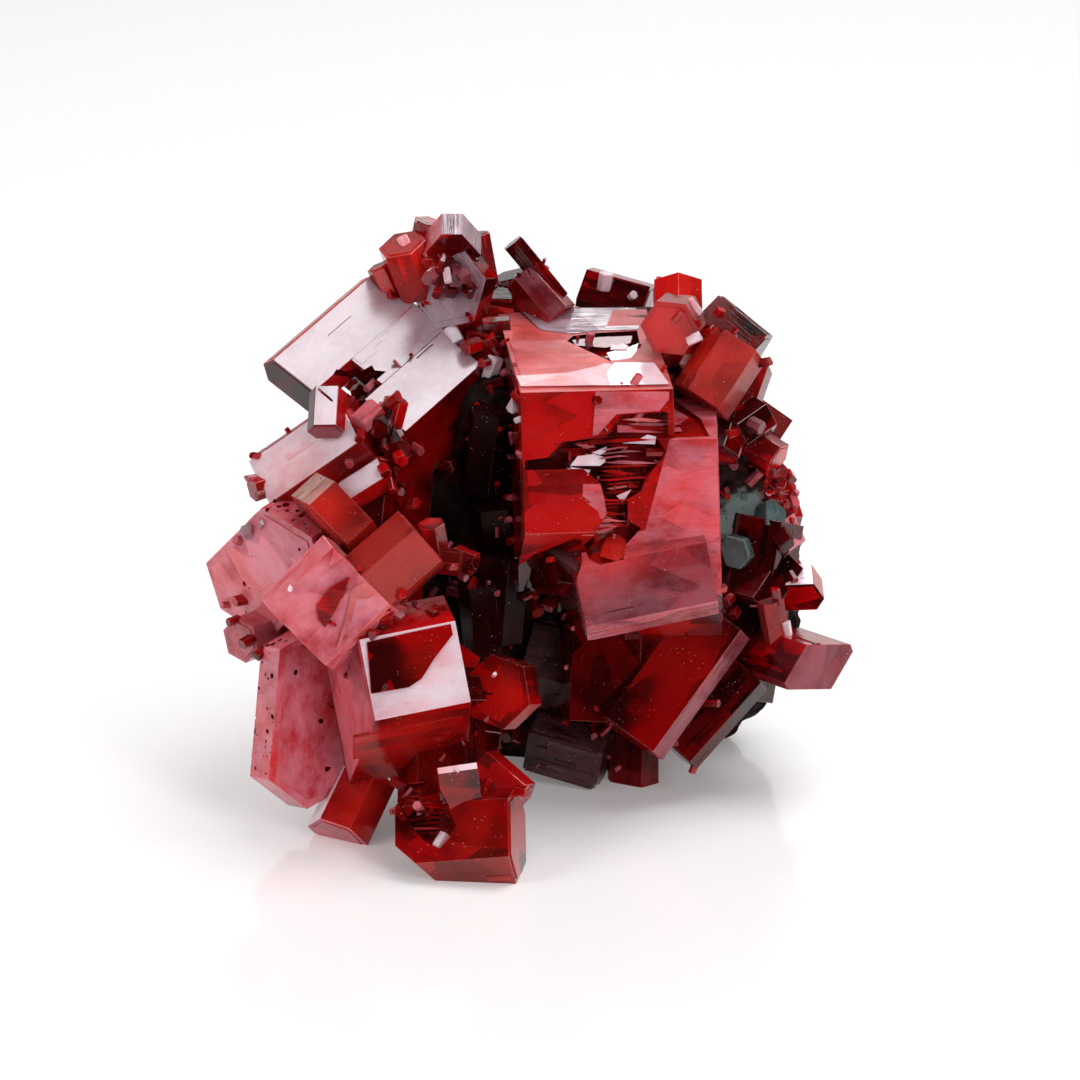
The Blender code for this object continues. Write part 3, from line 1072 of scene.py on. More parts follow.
class NodeGroups:
    """The effects that more than one material uses, each built once."""

    def __init__(self) -> None:
        """Builds every group."""
        self.growth_lines = self.build_growth_lines()
        self.colour_zones = self.build_colour_zones()
        self.dust_and_sheen_group = self.build_dust_and_sheen()
        self.edge_highlight = self.build_edge_highlight()
        self.painted_glow = self.build_painted_glow()

    @staticmethod
    def new_group(
        name: str, places: Sequence[str], values: dict[str, float], outputs: Sequence[str]
    ) -> tuple[bpy.types.NodeTree, bpy.types.Node, bpy.types.Node]:
        """An empty group with named sockets.

        Args:
            name: The group's name.
            places: The inputs that take coordinates.
            values: The inputs that take numbers, with their defaults.
            outputs: What the group puts out, all of them numbers.

        Returns:
            The group, its input node and its output node.
        """
        tree = bpy.data.node_groups.new(name, "ShaderNodeTree")
        for label in places:
            tree.interface.new_socket(name=label, in_out="INPUT", socket_type="NodeSocketVector")
        for label, default in values.items():
            socket = tree.interface.new_socket(name=label, in_out="INPUT", socket_type="NodeSocketFloat")
            socket.default_value = default
        for label in outputs:
            tree.interface.new_socket(name=label, in_out="OUTPUT", socket_type="NodeSocketFloat")
        return tree, tree.nodes.new("NodeGroupInput"), tree.nodes.new("NodeGroupOutput")

    @staticmethod
    def noise(
        tree: bpy.types.NodeTree, place: bpy.types.NodeSocket, scale: object, detail: float, rough: float
    ) -> bpy.types.NodeSocket:
        """A noise texture.

        Args:
            tree: Where it goes.
            place: Its coordinates.
            scale: Its scale, a number or a socket.
            detail: How many finer layers it has.
            rough: How strong they are.

        Returns:
            Its value.
        """
        node = tree.nodes.new("ShaderNodeTexNoise")
        for name, value in (("Vector", place), ("Scale", scale), ("Detail", detail), ("Roughness", rough)):
            supply(tree, node.inputs[name], value)
        return node.outputs["Fac"]

    @staticmethod
    def ramp(
        tree: bpy.types.NodeTree, value: bpy.types.NodeSocket, low: object, high: object, top: float = 1.0
    ) -> bpy.types.NodeSocket:
        """A smooth step from 0 to a top value.

        Args:
            tree: Where it goes.
            value: What is stepped.
            low: Where the step starts, a number or a socket.
            high: Where it ends, a number or a socket.
            top: The top value.

        Returns:
            The stepped value.
        """
        node = tree.nodes.new("ShaderNodeMapRange")
        node.interpolation_type = "SMOOTHSTEP"
        for name, fed in (("Value", value), ("From Min", low), ("From Max", high), ("To Max", top)):
            supply(tree, node.inputs[name], fed)
        return node.outputs["Result"]

    @staticmethod
    def calculate(
        tree: bpy.types.NodeTree, operation: str, *values: object, clamp: bool = False
    ) -> bpy.types.NodeSocket:
        """A math node.

        Args:
            tree: Where it goes.
            operation: What it does.
            values: What it is fed, sockets or numbers.
            clamp: Whether it is held between 0 and 1.

        Returns:
            Its result.
        """
        node = tree.nodes.new("ShaderNodeMath")
        node.operation = operation
        node.use_clamp = clamp
        for number, value in enumerate(values):
            supply(tree, node.inputs[number], value)
        return node.outputs[0]

    @staticmethod
    def move(
        tree: bpy.types.NodeTree, operation: str, place: bpy.types.NodeSocket, other: object
    ) -> bpy.types.Node:
        """A vector math node.

        Args:
            tree: Where it goes.
            operation: What it does.
            place: The coordinates that it is fed.
            other: What it takes with them, a socket or a fixed vector.

        Returns:
            The node.
        """
        node = tree.nodes.new("ShaderNodeVectorMath")
        node.operation = operation
        supply(tree, node.inputs[0], place)
        supply(tree, node.inputs[1], other)
        return node

    def build_growth_lines(self) -> bpy.types.NodeTree:
        """Fine lines along the crystal's length, with low swells under them.

        Returns:
            The group.
        """
        tree, start, end = self.new_group(
            "growth_lines", ("Vector",), {"Fineness": 6.0, "Stretch": 0.06, "Swell": 0.5}, ("Height", "Mask")
        )
        grain = start.outputs["Vector"]
        stretch = tree.nodes.new("ShaderNodeCombineXYZ")
        for axis, value in (("X", 1.0), ("Y", start.outputs["Stretch"]), ("Z", 1.0)):
            supply(tree, stretch.inputs[axis], value)
        drawn = self.move(tree, "MULTIPLY", grain, stretch.outputs[0]).outputs[0]
        fine = self.noise(tree, drawn, start.outputs["Fineness"], 3.0, 0.6)
        swell = self.noise(tree, grain, 0.35, 2.0, 0.5)
        swell = self.calculate(tree, "MULTIPLY", swell, start.outputs["Swell"])
        swell = self.calculate(tree, "MULTIPLY", swell, 5.0)
        supply(tree, end.inputs["Height"], self.calculate(tree, "ADD", fine, swell))
        supply(tree, end.inputs["Mask"], self.ramp(tree, fine, 0.35, 0.65))
        return tree

    def build_colour_zones(self) -> bpy.types.NodeTree:
        """Clouds inside the stone, broken by the straight-edged mirrors of its inner faces.

        Returns:
            The group.
        """
        tree, start, end = self.new_group(
            "colour_zones", ("Vector", "Grain"), {"Scale": 0.3, "Low": 0.4, "High": 0.65, "Facets": 0.3},
            ("Mask",),
        )
        cloud = self.noise(tree, start.outputs["Vector"], start.outputs["Scale"], 5.0, 0.55)
        drawn = self.move(tree, "MULTIPLY", start.outputs["Grain"], (0.42, 0.2, 1.0))
        mirrors = tree.nodes.new("ShaderNodeTexVoronoi")
        mirrors.voronoi_dimensions = "2D"
        supply(tree, mirrors.inputs["Vector"], drawn.outputs[0])
        supply(tree, mirrors.inputs["Scale"], 1.0)
        level = tree.nodes.new("ShaderNodeSeparateColor")
        supply(tree, level.inputs[0], mirrors.outputs["Color"])
        offset = self.calculate(tree, "SUBTRACT", level.outputs["Red"], 0.5)
        offset = self.calculate(tree, "MULTIPLY", offset, start.outputs["Facets"])
        total = self.calculate(tree, "ADD", cloud, offset)
        mask = self.ramp(tree, total, start.outputs["Low"], start.outputs["High"])
        supply(tree, end.inputs["Mask"], mask)
        return tree

    def build_dust_and_sheen(self) -> bpy.types.NodeTree:
        """Pale specks, and a broken film drawn out along the grain; the film is partly dust, partly painted
        sheen.

        Returns:
            The group.
        """
        tree, start, end = self.new_group(
            "dust_and_sheen_group", ("Vector", "Grain"), {"Speck Scale": 2.4, "Speck Size": 0.34, "Film": 0.5},
            ("Specks", "Film"),
        )
        place = start.outputs["Vector"]
        cells = tree.nodes.new("ShaderNodeTexVoronoi")
        supply(tree, cells.inputs["Vector"], place)
        supply(tree, cells.inputs["Scale"], start.outputs["Speck Scale"])
        patches = self.calculate(tree, "SUBTRACT", self.noise(tree, place, 0.45, 2.0, 0.5), 0.32)
        size = self.calculate(tree, "MULTIPLY", patches, start.outputs["Speck Size"])
        dots = self.calculate(tree, "LESS_THAN", cells.outputs["Distance"], size)
        supply(tree, end.inputs["Specks"], dots)
        drawn = self.move(tree, "MULTIPLY", start.outputs["Grain"], (1.0, 0.55, 1.0))
        film = self.ramp(tree, self.noise(tree, drawn.outputs[0], 0.3, 10.0, 0.68), 0.32, 0.68)
        supply(tree, end.inputs["Film"], self.calculate(tree, "MULTIPLY", film, start.outputs["Film"]))
        return tree

    def build_edge_highlight(self) -> bpy.types.NodeTree:
        """Painted highlights along the edges, broken into patches by noise.

        Returns:
            The group.
        """
        tree, start, end = self.new_group(
            "edge_highlight", ("Vector",), {"Wear": 0.0, "Amount": 0.6}, ("Mask",)
        )
        # Noise that breaks the painted edge highlight into patches.
        chips = self.ramp(tree, self.noise(tree, start.outputs["Vector"], 2.2, 3.0, 0.6), 0.3, 0.6)
        highlit = self.calculate(tree, "MULTIPLY", start.outputs["Wear"], chips)
        highlit = self.calculate(tree, "MULTIPLY", highlit, start.outputs["Amount"])
        supply(tree, end.inputs["Mask"], highlit)
        return tree

    def build_painted_glow(self) -> bpy.types.NodeTree:
        """Painted glow where light would come through the stone: soft balls round the glow spots.

        Returns:
            The group.
        """
        tree, start, end = self.new_group("painted_glow", ("Vector",), {"Cloud": 0.35}, ("Mask",))
        place = start.outputs["Vector"]
        wave = self.calculate(tree, "SUBTRACT", self.noise(tree, place, 0.35, 4.0, 0.6), 0.5)
        wave = self.calculate(tree, "MULTIPLY", wave, start.outputs["Cloud"])
        total = 0.0
        for spot in PAINTED_GLOWS:
            away = self.move(tree, "DISTANCE", place, display_to_world(spot.at)).outputs["Value"]
            near = self.ramp(tree, away, spot.reach, GLOW_CORE * spot.reach, spot.strength)
            total = self.calculate(tree, "MAXIMUM", total, near)
        wave = self.calculate(tree, "MULTIPLY_ADD", wave, 4.0, 1.0)
        total = self.calculate(tree, "MULTIPLY", total, wave, clamp=True)
        supply(tree, end.inputs["Mask"], total)
        return tree


class MaterialSheet:
    """Helps a finish to place and link the nodes of one material."""

    def __init__(self, name: str, groups: NodeGroups) -> None:
        """Starts a material with only its Principled shader.

        Args:
            name: The material's name.
            groups: The shared effects.
        """
        self.material = bpy.data.materials.new(name)
        self.material.use_nodes = True
        self.tree = self.material.node_tree
        self.surface = self.tree.nodes["Principled BSDF"]
        self.groups = groups

    def millimetres(self) -> bpy.types.NodeSocket:
        """Finds the place on the object.

        Returns:
            The place, in millimetres.
        """
        place = self.tree.nodes.new("ShaderNodeTexCoord").outputs["Object"]
        scaled = self.tree.nodes.new("ShaderNodeVectorMath")
        scaled.operation = "SCALE"
        supply(self.tree, scaled.inputs[0], place)
        supply(self.tree, scaled.inputs["Scale"], 1 / MM)
        return scaled.outputs[0]

    def layer(self, name: str) -> bpy.types.NodeSocket:
        """One of the mesh's own coordinate layers."""
        node = self.tree.nodes.new("ShaderNodeUVMap")
        node.uv_map = name
        return node.outputs["UV"]

    def group(self, tree: bpy.types.NodeTree, **values: object) -> bpy.types.Node:
        """Places a group and feeds its sockets.

        Args:
            tree: The group.
            values: A number or a socket for each input, with _ for a space in its name.

        Returns:
            The group's node.
        """
        node = self.tree.nodes.new("ShaderNodeGroup")
        node.node_tree = tree
        for key, value in values.items():
            supply(self.tree, node.inputs[key.replace("_", " ")], value)
        return node

    def mix(
        self, factor: object, under: object, over: object, blend: str = "MIX"
    ) -> bpy.types.NodeSocket:
        """Mixes two colours.

        Args:
            factor: How much of the upper one, a socket or a number.
            under: The lower colour, a socket or a plain colour.
            over: The upper colour, a socket or a plain colour.
            blend: The way that they mix.

        Returns:
            The mixed colour.
        """
        node = self.tree.nodes.new("ShaderNodeMix")
        node.data_type = "RGBA"
        node.blend_type = blend
        supply(self.tree, node.inputs[0], factor)
        for number, value in ((6, under), (7, over)):
            plain = isinstance(value, tuple)
            supply(self.tree, node.inputs[number], (*value, 1.0) if plain else value)
        return node.outputs[2]

    def map_range(
        self, value: bpy.types.NodeSocket, low: float, high: float, to_low: float, to_high: float
    ) -> bpy.types.NodeSocket:
        """Maps a value from one range to another, held at the ends.

        Args:
            value: What is mapped.
            low: The first range's start.
            high: Its end.
            to_low: The second range's start.
            to_high: Its end.

        Returns:
            The mapped value.
        """
        node = self.tree.nodes.new("ShaderNodeMapRange")
        names = ("Value", "From Min", "From Max", "To Min", "To Max")
        for name, fed in zip(names, (value, low, high, to_low, to_high)):
            supply(self.tree, node.inputs[name], fed)
        return node.outputs["Result"]

    def bump(
        self, height: bpy.types.NodeSocket, distance: float, strength: float
    ) -> bpy.types.NodeSocket:
        """Bends the surface.

        Args:
            height: How high it is.
            distance: The height's unit, in metres.
            strength: How much it bends.

        Returns:
            The bent normal.
        """
        node = self.tree.nodes.new("ShaderNodeBump")
        for name, fed in (("Strength", strength), ("Distance", distance), ("Height", height)):
            supply(self.tree, node.inputs[name], fed)
        return node.outputs["Normal"]

    def feed(self, **values: object) -> None:
        """Sets or links the Principled shader's sockets, with _ for a space in a name."""
        for key, value in values.items():
            supply(self.tree, self.surface.inputs[key.replace("_", " ")], value)


@dataclass(frozen=True)
class CrystalFinish:
    """One look of vanadinite: deep and lit colour, a film of dust and painted sheen, painted edge highlights
    and glow.
    """

    name: str
    deep: Colour
    bright: Colour
    dust_and_sheen: Colour
    # The colour of the painted glow, laid on where light would come through.
    glow: Colour = (0.9, 0.02, 0.01)
    film: float = 0.3
    zone_scale: float = 0.13
    zone_low: float = 0.34
    zone_high: float = 0.66
    facets: float = 0.12
    contrast: float = 0.45
    polish: float = 0.1
    dull: float = 0.3
    lines: float = 0.2
    fineness: float = 5.0
    swell: float = 0.35
    clear: float = 0.35
    scatter: float = 0.3
    refraction: float = 2.1
    # The colour and the share of the painted edge highlight.
    edge: Colour = (0.6, 0.12, 0.1)
    wear: float = 0.3

    def material(self, groups: NodeGroups) -> bpy.types.Material:
        """Builds the material.

        Args:
            groups: The shared effects.

        Returns:
            The material.
        """
        sheet = MaterialSheet(self.name, groups)
        place = sheet.millimetres()
        grain = sheet.layer(GRAIN_LAYER)
        # X marks the faces with the painted edge highlight; Y is a random tone for each face.
        wear = sheet.tree.nodes.new("ShaderNodeSeparateXYZ")
        sheet.tree.links.new(sheet.layer(HIGHLIGHT_LAYER), wear.inputs[0])
        lines = sheet.group(
            groups.growth_lines, Vector=grain, Fineness=self.fineness, Swell=self.swell
        )
        zones = sheet.group(
            groups.colour_zones, Vector=place, Grain=grain, Scale=self.zone_scale,
            Low=self.zone_low, High=self.zone_high, Facets=self.facets,
        )
        dust_and_sheen = sheet.group(groups.dust_and_sheen_group, Vector=place, Grain=grain, Film=self.film)
        highlit = sheet.group(
            groups.edge_highlight, Wear=wear.outputs["X"], Vector=place, Amount=self.wear
        )
        # Painted glow: the body colour is lifted towards the glow colour round the glow spots.
        inner = sheet.group(groups.painted_glow, Vector=place)
        body = sheet.mix(zones.outputs["Mask"], self.deep, self.bright)
        body = sheet.mix(inner.outputs["Mask"], body, self.glow)
        lined = sheet.map_range(lines.outputs["Mask"], 0.0, 1.0, 1.0 - 0.45 * self.lines, 1.0)
        turned = sheet.map_range(wear.outputs["Y"], 0.0, 1.0, 1.0 - self.contrast, 1.0)
        lined = groups.calculate(sheet.tree, "MULTIPLY", lined, turned)
        shade = sheet.tree.nodes.new("ShaderNodeCombineColor")
        for channel in ("Red", "Green", "Blue"):
            sheet.tree.links.new(lined, shade.inputs[channel])
        body = sheet.mix(1.0, body, shade.outputs["Color"], "MULTIPLY")
        # The film lays on dust, and on the pale, pink, lilac and near-white tones a painted sheen.
        body = sheet.mix(dust_and_sheen.outputs["Film"], body, self.dust_and_sheen)
        body = sheet.mix(dust_and_sheen.outputs["Specks"], body, SPECK_COLOUR)
        # Painted highlight on the rounded edges and the layers' side walls.
        body = sheet.mix(highlit.outputs["Mask"], body, self.edge)
        rough = sheet.map_range(dust_and_sheen.outputs["Film"], 0.0, 1.0, self.polish, self.dull)
        bent = sheet.bump(lines.outputs["Height"], LINE_HEIGHT, self.lines)
        sheet.feed(
            Base_Color=body,
            Roughness=rough,
            Normal=bent,
            IOR=self.refraction,
            Transmission_Weight=self.clear,
            Subsurface_Weight=self.scatter,
            Subsurface_Radius=LIGHT_SPREAD,
            Subsurface_Scale=LIGHT_DEPTH,
        )
        return sheet.material


@dataclass(frozen=True)
class RockFinish:
    """The matrix: near-black to brown, with a rusty crust and one grey-green patch."""

    name: str = "matrix_rock"
    dark: Colour = (0.0035, 0.0015, 0.0015)
    brown: Colour = (0.018, 0.006, 0.005)
    rust: Colour = (0.08, 0.006, 0.005)
    pale: Colour = (0.04, 0.022, 0.022)
    green: Colour = (0.16, 0.21, 0.20)
    green_spot: Triple = (19.0, 1.6, -6.0)
    green_reach: float = 4.2
    crust: Colour = (0.42, 0.03, 0.025)
    crust_spot: Triple = (23.6, 3.2, -8.0)
    crust_reach: float = 5.0
    refraction: float = 1.2
    grit_height: float = 0.0003

    def material(self, groups: NodeGroups) -> bpy.types.Material:
        """Builds the material.

        Args:
            groups: The shared effects.

        Returns:
            The material.
        """
        sheet = MaterialSheet(self.name, groups)
        place = sheet.millimetres()
        broad, fine, stain = (
            sheet.group(groups.colour_zones, Vector=place, Scale=scale, Low=low, High=high, Facets=0.0)
            .outputs["Mask"]
            for scale, low, high in ((0.12, 0.38, 0.66), (0.9, 0.4, 0.7), (0.2, 0.52, 0.7))
        )
        dust_and_sheen = sheet.group(
            groups.dust_and_sheen_group, Vector=place, Grain=place, Speck_Scale=2.2, Speck_Size=0.5, Film=0.5
        )
        body = sheet.mix(broad, self.dark, self.brown)
        body = sheet.mix(fine, body, sheet.mix(0.5, self.brown, self.pale))
        body = sheet.mix(stain, body, self.rust)
        for spot, reach, colour in (
            (self.crust_spot, self.crust_reach, self.crust),
            (self.green_spot, self.green_reach, self.green),
        ):
            away = groups.move(sheet.tree, "DISTANCE", place, display_to_world(spot)).outputs["Value"]
            ragged = groups.calculate(sheet.tree, "ADD", away, fine)
            patch = sheet.map_range(ragged, reach * 0.75, reach, 0.92, 0.0)
            body = sheet.mix(patch, body, colour)
        body = sheet.mix(dust_and_sheen.outputs["Specks"], body, self.pale)
        grit = groups.noise(sheet.tree, place, 3.0, 8.0, 0.7)
        sheet.feed(
            Base_Color=body,
            Roughness=sheet.map_range(fine, 0.0, 1.0, 0.9, 0.6),
            IOR=self.refraction,
            Normal=sheet.bump(grit, self.grit_height, 0.8),
        )
        return sheet.material


@dataclass
class Rock:
    """The matrix, a lumpy broken stone that the crystals are let into."""

    centre: Triple = (2.5, 10.4, 18.0)
    radii: Triple = (22.5, 9.5, 22.5)
    subdivisions: int = 7
    lump_share: float = 0.16
    lump_scale: float = 2.3
    grain_share: float = 0.04
    grain_scale: float = 7.0
    crumb_share: float = 0.016
    crumb_scale: float = 22.0
    pit_share: float = 0.02
    pit_scale: float = 11.0
    pit_edge: float = 0.45
    noise_start: Triple = (3.7, 1.9, 8.2)
    crease: float = 40

    def build(
        self, material: bpy.types.Material, neighbours: Sequence[Prism], facets: FacetMesh
    ) -> bpy.types.Object:
        """Makes the stone, cut back to just clear of the crystals.

        Args:
            material: Its finish.
            neighbours: The crystals let into it.
            facets: Makes the cutters.

        Returns:
            The visible piece.
        """
        shape = bmesh.new()
        bmesh.ops.create_icosphere(shape, subdivisions=self.subdivisions, radius=1.0)
        offset = Vector(self.noise_start)
        for vertex in shape.verts:
            way = vertex.co.normalized()
            lump = noise.noise(way * self.lump_scale + offset)
            grain = noise.noise(way * self.grain_scale + offset)
            crumb = noise.noise(way * self.crumb_scale + offset)
            cell = noise.voronoi(way * self.pit_scale + offset)[0][0]
            reach = 1 + self.lump_share * lump + self.grain_share * grain
            reach += self.crumb_share * crumb - self.pit_share * max(0.0, self.pit_edge - cell) * 2
            vertex.co = Vector(self.centre) + way * reach * Vector(self.radii)
        bmesh.ops.scale(shape, vec=(MM, MM, MM), verts=shape.verts[:])
        mesh = bpy.data.meshes.new("rock")
        shape.to_mesh(mesh)
        shape.free()
        mesh.materials.append(material)
        piece = link(bpy.data.objects.new("rock", mesh))
        maker = CrystalMaker(facets, 1)
        cutters = [maker.body(prism, NEIGHBOUR_GAP) for prism in neighbours]
        combine(piece, "DIFFERENCE", cutters + [floor_block(facets)])
        keep_largest(piece)
        piece.data.materials.clear()
        piece.data.materials.append(material)
        for polygon in piece.data.polygons:
            polygon.material_index = 0
        piece.data.shade_smooth()
        piece.data.set_sharp_from_angle(angle=math.radians(self.crease))
        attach(piece, "root")
        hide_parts("matrix")
        LOG.info("rock: %d faces", len(piece.data.polygons))
        return piece


@dataclass
class Druse:
    """Small crystals that crust the bare rock, in patches."""

    spots: int = 2600
    seed: int = 77
    narrow: float = 0.7
    wide: float = 1.9
    patch_scale: float = 0.14
    threshold: float = 0.02
    clearance: float = 2.2
    crust_count: int = 150
    crust_across: tuple[float, float] = (20.8, 26.2)
    crust_up: tuple[float, float] = (-2.5, 8.5)
    crust_width: tuple[float, float] = (0.7, 1.5)

    def crust(self, surface: Surface, facets: FacetMesh, draw: random.Random) -> list[bpy.types.Object]:
        """The close crust of small red crystals on the rock's right shoulder.

        Args:
            surface: The rock's.
            facets: Makes their meshes.
            draw: Gives their places, sizes and tones.

        Returns:
            The objects.
        """
        made = []
        for _ in range(self.crust_count):
            across, up = draw.uniform(*self.crust_across), draw.uniform(*self.crust_up)
            forward = surface.forward_at(across, up)
            if forward is None:
                continue
            width = draw.uniform(*self.crust_width)
            axis = display_direction((draw.gauss(0.6, 0.5), draw.gauss(0.1, 0.5), 1.0))
            foot = display_to_world(seen_at(across, up, forward)) - axis * width * 0.5
            tone = draw.choice((RED, RED, DUSTY, RED, DEEP))
            made.append(small_body(facets, draw, foot, axis, width, width * draw.uniform(0.8, 1.3), tone))
        return made

    def build(self, rock: bpy.types.Object, facets: FacetMesh) -> bpy.types.Object:
        """Grows the crystals out of the rock and cuts their feet off at its surface.

        Args:
            rock: The matrix.
            facets: Makes their meshes.

        Returns:
            The visible piece.
        """
        draw = random.Random(self.seed)
        surface = Surface(rock)
        made = []
        for place, way in surface.random_spots(draw, self.spots):
            outward = place - ROCK_MIDDLE
            bare = outward.normalized().dot(way) > 0.25
            if not bare or place.z < 1.5 or noise.noise(place * self.patch_scale) < self.threshold:
                continue
            width = self.narrow + (self.wide - self.narrow) * draw.random() ** 3
            if surface.tree.ray_cast(place + way * 0.05, way, self.clearance)[3] is not None:
                continue
            axis = (way + random_way(draw) * 0.5).normalized()
            tone = draw.choice((RED, DEEP, WINE, BROWN, PLUM))
            length = width * draw.uniform(0.5, 1.1)
            foot = place - axis * width * 0.6
            made.append(small_body(facets, draw, foot, axis, width, length + width * 0.6, tone))
        made.extend(self.crust(surface, facets, draw))
        piece = link(made[0])
        piece.name = piece.data.name = "druse"
        combine(piece, "UNION", made[1:])
        solids = [rock.copy(), floor_block(facets)]
        solids[0].data = rock.data.copy()
        for name in CLUSTER_NAMES:
            twin = bpy.data.objects[name].copy()
            twin.data = twin.data.copy()
            solids.append(twin)
        combine(piece, "DIFFERENCE", solids)
        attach(piece, "root")
        LOG.info("druse: %d faces, %d crystals", len(piece.data.polygons), len(made))
        return piece


@dataclass(frozen=True)
class Softbox:
    """One studio lamp, placed by the display direction that it shines from."""

    name: str
    way: Triple
    away: float
    width: float
    height: float
    power: float
    mirrored: bool = True

    def build(self) -> bpy.types.Object:
        """Makes the lamp, turned to the specimen's middle.

        Returns:
            The lamp.
        """
        lamp = bpy.data.lights.new(self.name, "AREA")
        lamp.shape = "RECTANGLE"
        lamp.size = self.width
        lamp.size_y = self.height
        lamp.energy = self.power
        made = link(bpy.data.objects.new(self.name, lamp))
        made.visible_glossy = self.mirrored
        way = display_direction(self.way)
        made.location = DISPLAY_ORIGIN * MM + way * self.away
        made.rotation_euler = way.to_track_quat("Z", "Y").to_euler()
        return made


@dataclass
class Studio:
    """The pale floor, the soft light and the camera."""

    floor_side: float = 4.0
    floor_colour: Colour = (0.93, 0.915, 0.92)
    floor_roughness: float = 0.13
    floor_refraction: float = 2.5
    floor_light: Colour = (1.0, 0.965, 0.97)
    floor_light_strength: float = 0.145
    frame_width: float = 100.44
    sensor: float = 36.0
    farthest_seen: float = 10.0
    mirrored: float = 0.012
    fill: float = 0.3
    back_wall: tuple[float, float, float] = (0.15, 0.8, 0.6)
    lamps: tuple = field(default_factory=lambda: STUDIO_LAMPS)

    def build(self) -> None:
        """Sets up the floor, the lamps, the surroundings and the camera."""
        self.build_floor()
        self.build_surroundings()
        for lamp in self.lamps:
            lamp.build()
        self.build_camera()

    def build_floor(self) -> bpy.types.Object:
        """A pale floor with a faint shine and a little light of its own.

        Returns:
            The floor.
        """
        shape = bmesh.new()
        bmesh.ops.create_grid(shape, x_segments=8, y_segments=8, size=self.floor_side / 2)
        mesh = bpy.data.meshes.new("floor")
        shape.to_mesh(mesh)
        shape.free()
        material = bpy.data.materials.new("floor_finish")
        material.use_nodes = True
        surface = material.node_tree.nodes["Principled BSDF"]
        surface.inputs["Base Color"].default_value = (*self.floor_colour, 1.0)
        surface.inputs["Roughness"].default_value = self.floor_roughness
        surface.inputs["IOR"].default_value = self.floor_refraction
        surface.inputs["Emission Color"].default_value = (*self.floor_light, 1.0)
        surface.inputs["Emission Strength"].default_value = self.floor_light_strength
        mesh.materials.append(material)
        floor = link(bpy.data.objects.new("floor", mesh))
        return floor

    def build_surroundings(self) -> None:
        """White behind the specimen, dimmer all round for its faces to mirror."""
        world = bpy.data.worlds.new("studio")
        bpy.context.scene.world = world
        world.use_nodes = True
        tree = world.node_tree
        around = tree.nodes["Background"]
        behind = tree.nodes.new("ShaderNodeBackground")
        for background in (around, behind):
            background.inputs["Color"].default_value = (1.0, 1.0, 1.0, 1.0)
        place = tree.nodes.new("ShaderNodeTexCoord")
        toward = NodeGroups.move(tree, "DOT_PRODUCT", place.outputs["Generated"], (0.0, 1.0, 0.0))
        wall = NodeGroups.ramp(tree, toward.outputs["Value"], *self.back_wall)
        seen = tree.nodes.new("ShaderNodeLightPath")
        bright = NodeGroups.calculate(tree, "MAXIMUM", seen.outputs["Is Camera Ray"], wall)
        fill = tree.nodes.new("ShaderNodeMapRange")
        supply(tree, fill.inputs["Value"], seen.outputs["Is Diffuse Ray"])
        supply(tree, fill.inputs["To Min"], self.mirrored)
        supply(tree, fill.inputs["To Max"], self.fill)
        supply(tree, around.inputs["Strength"], fill.outputs["Result"])
        choice = tree.nodes.new("ShaderNodeMixShader")
        for number, fed in enumerate((bright, around.outputs[0], behind.outputs[0])):
            supply(tree, choice.inputs[number], fed)
        supply(tree, tree.nodes["World Output"].inputs["Surface"], choice.outputs[0])
        bpy.context.scene.view_settings.view_transform = "Standard"

    def build_camera(self) -> bpy.types.Object:
        """A long lens that looks down on the specimen.

        Returns:
            The camera.
        """
        data = bpy.data.cameras.new("camera")
        data.sensor_width = self.sensor
        data.lens = self.sensor * EYE_DISTANCE / self.frame_width
        data.clip_end = self.farthest_seen
        camera = link(bpy.data.objects.new("camera", data))
        camera.location = display_to_world((0.0, 0.0, EYE_DISTANCE)) * MM
        camera.rotation_euler = (math.radians(90 - DISPLAY_PITCH), 0.0, 0.0)
        bpy.context.scene.camera = camera
        return camera
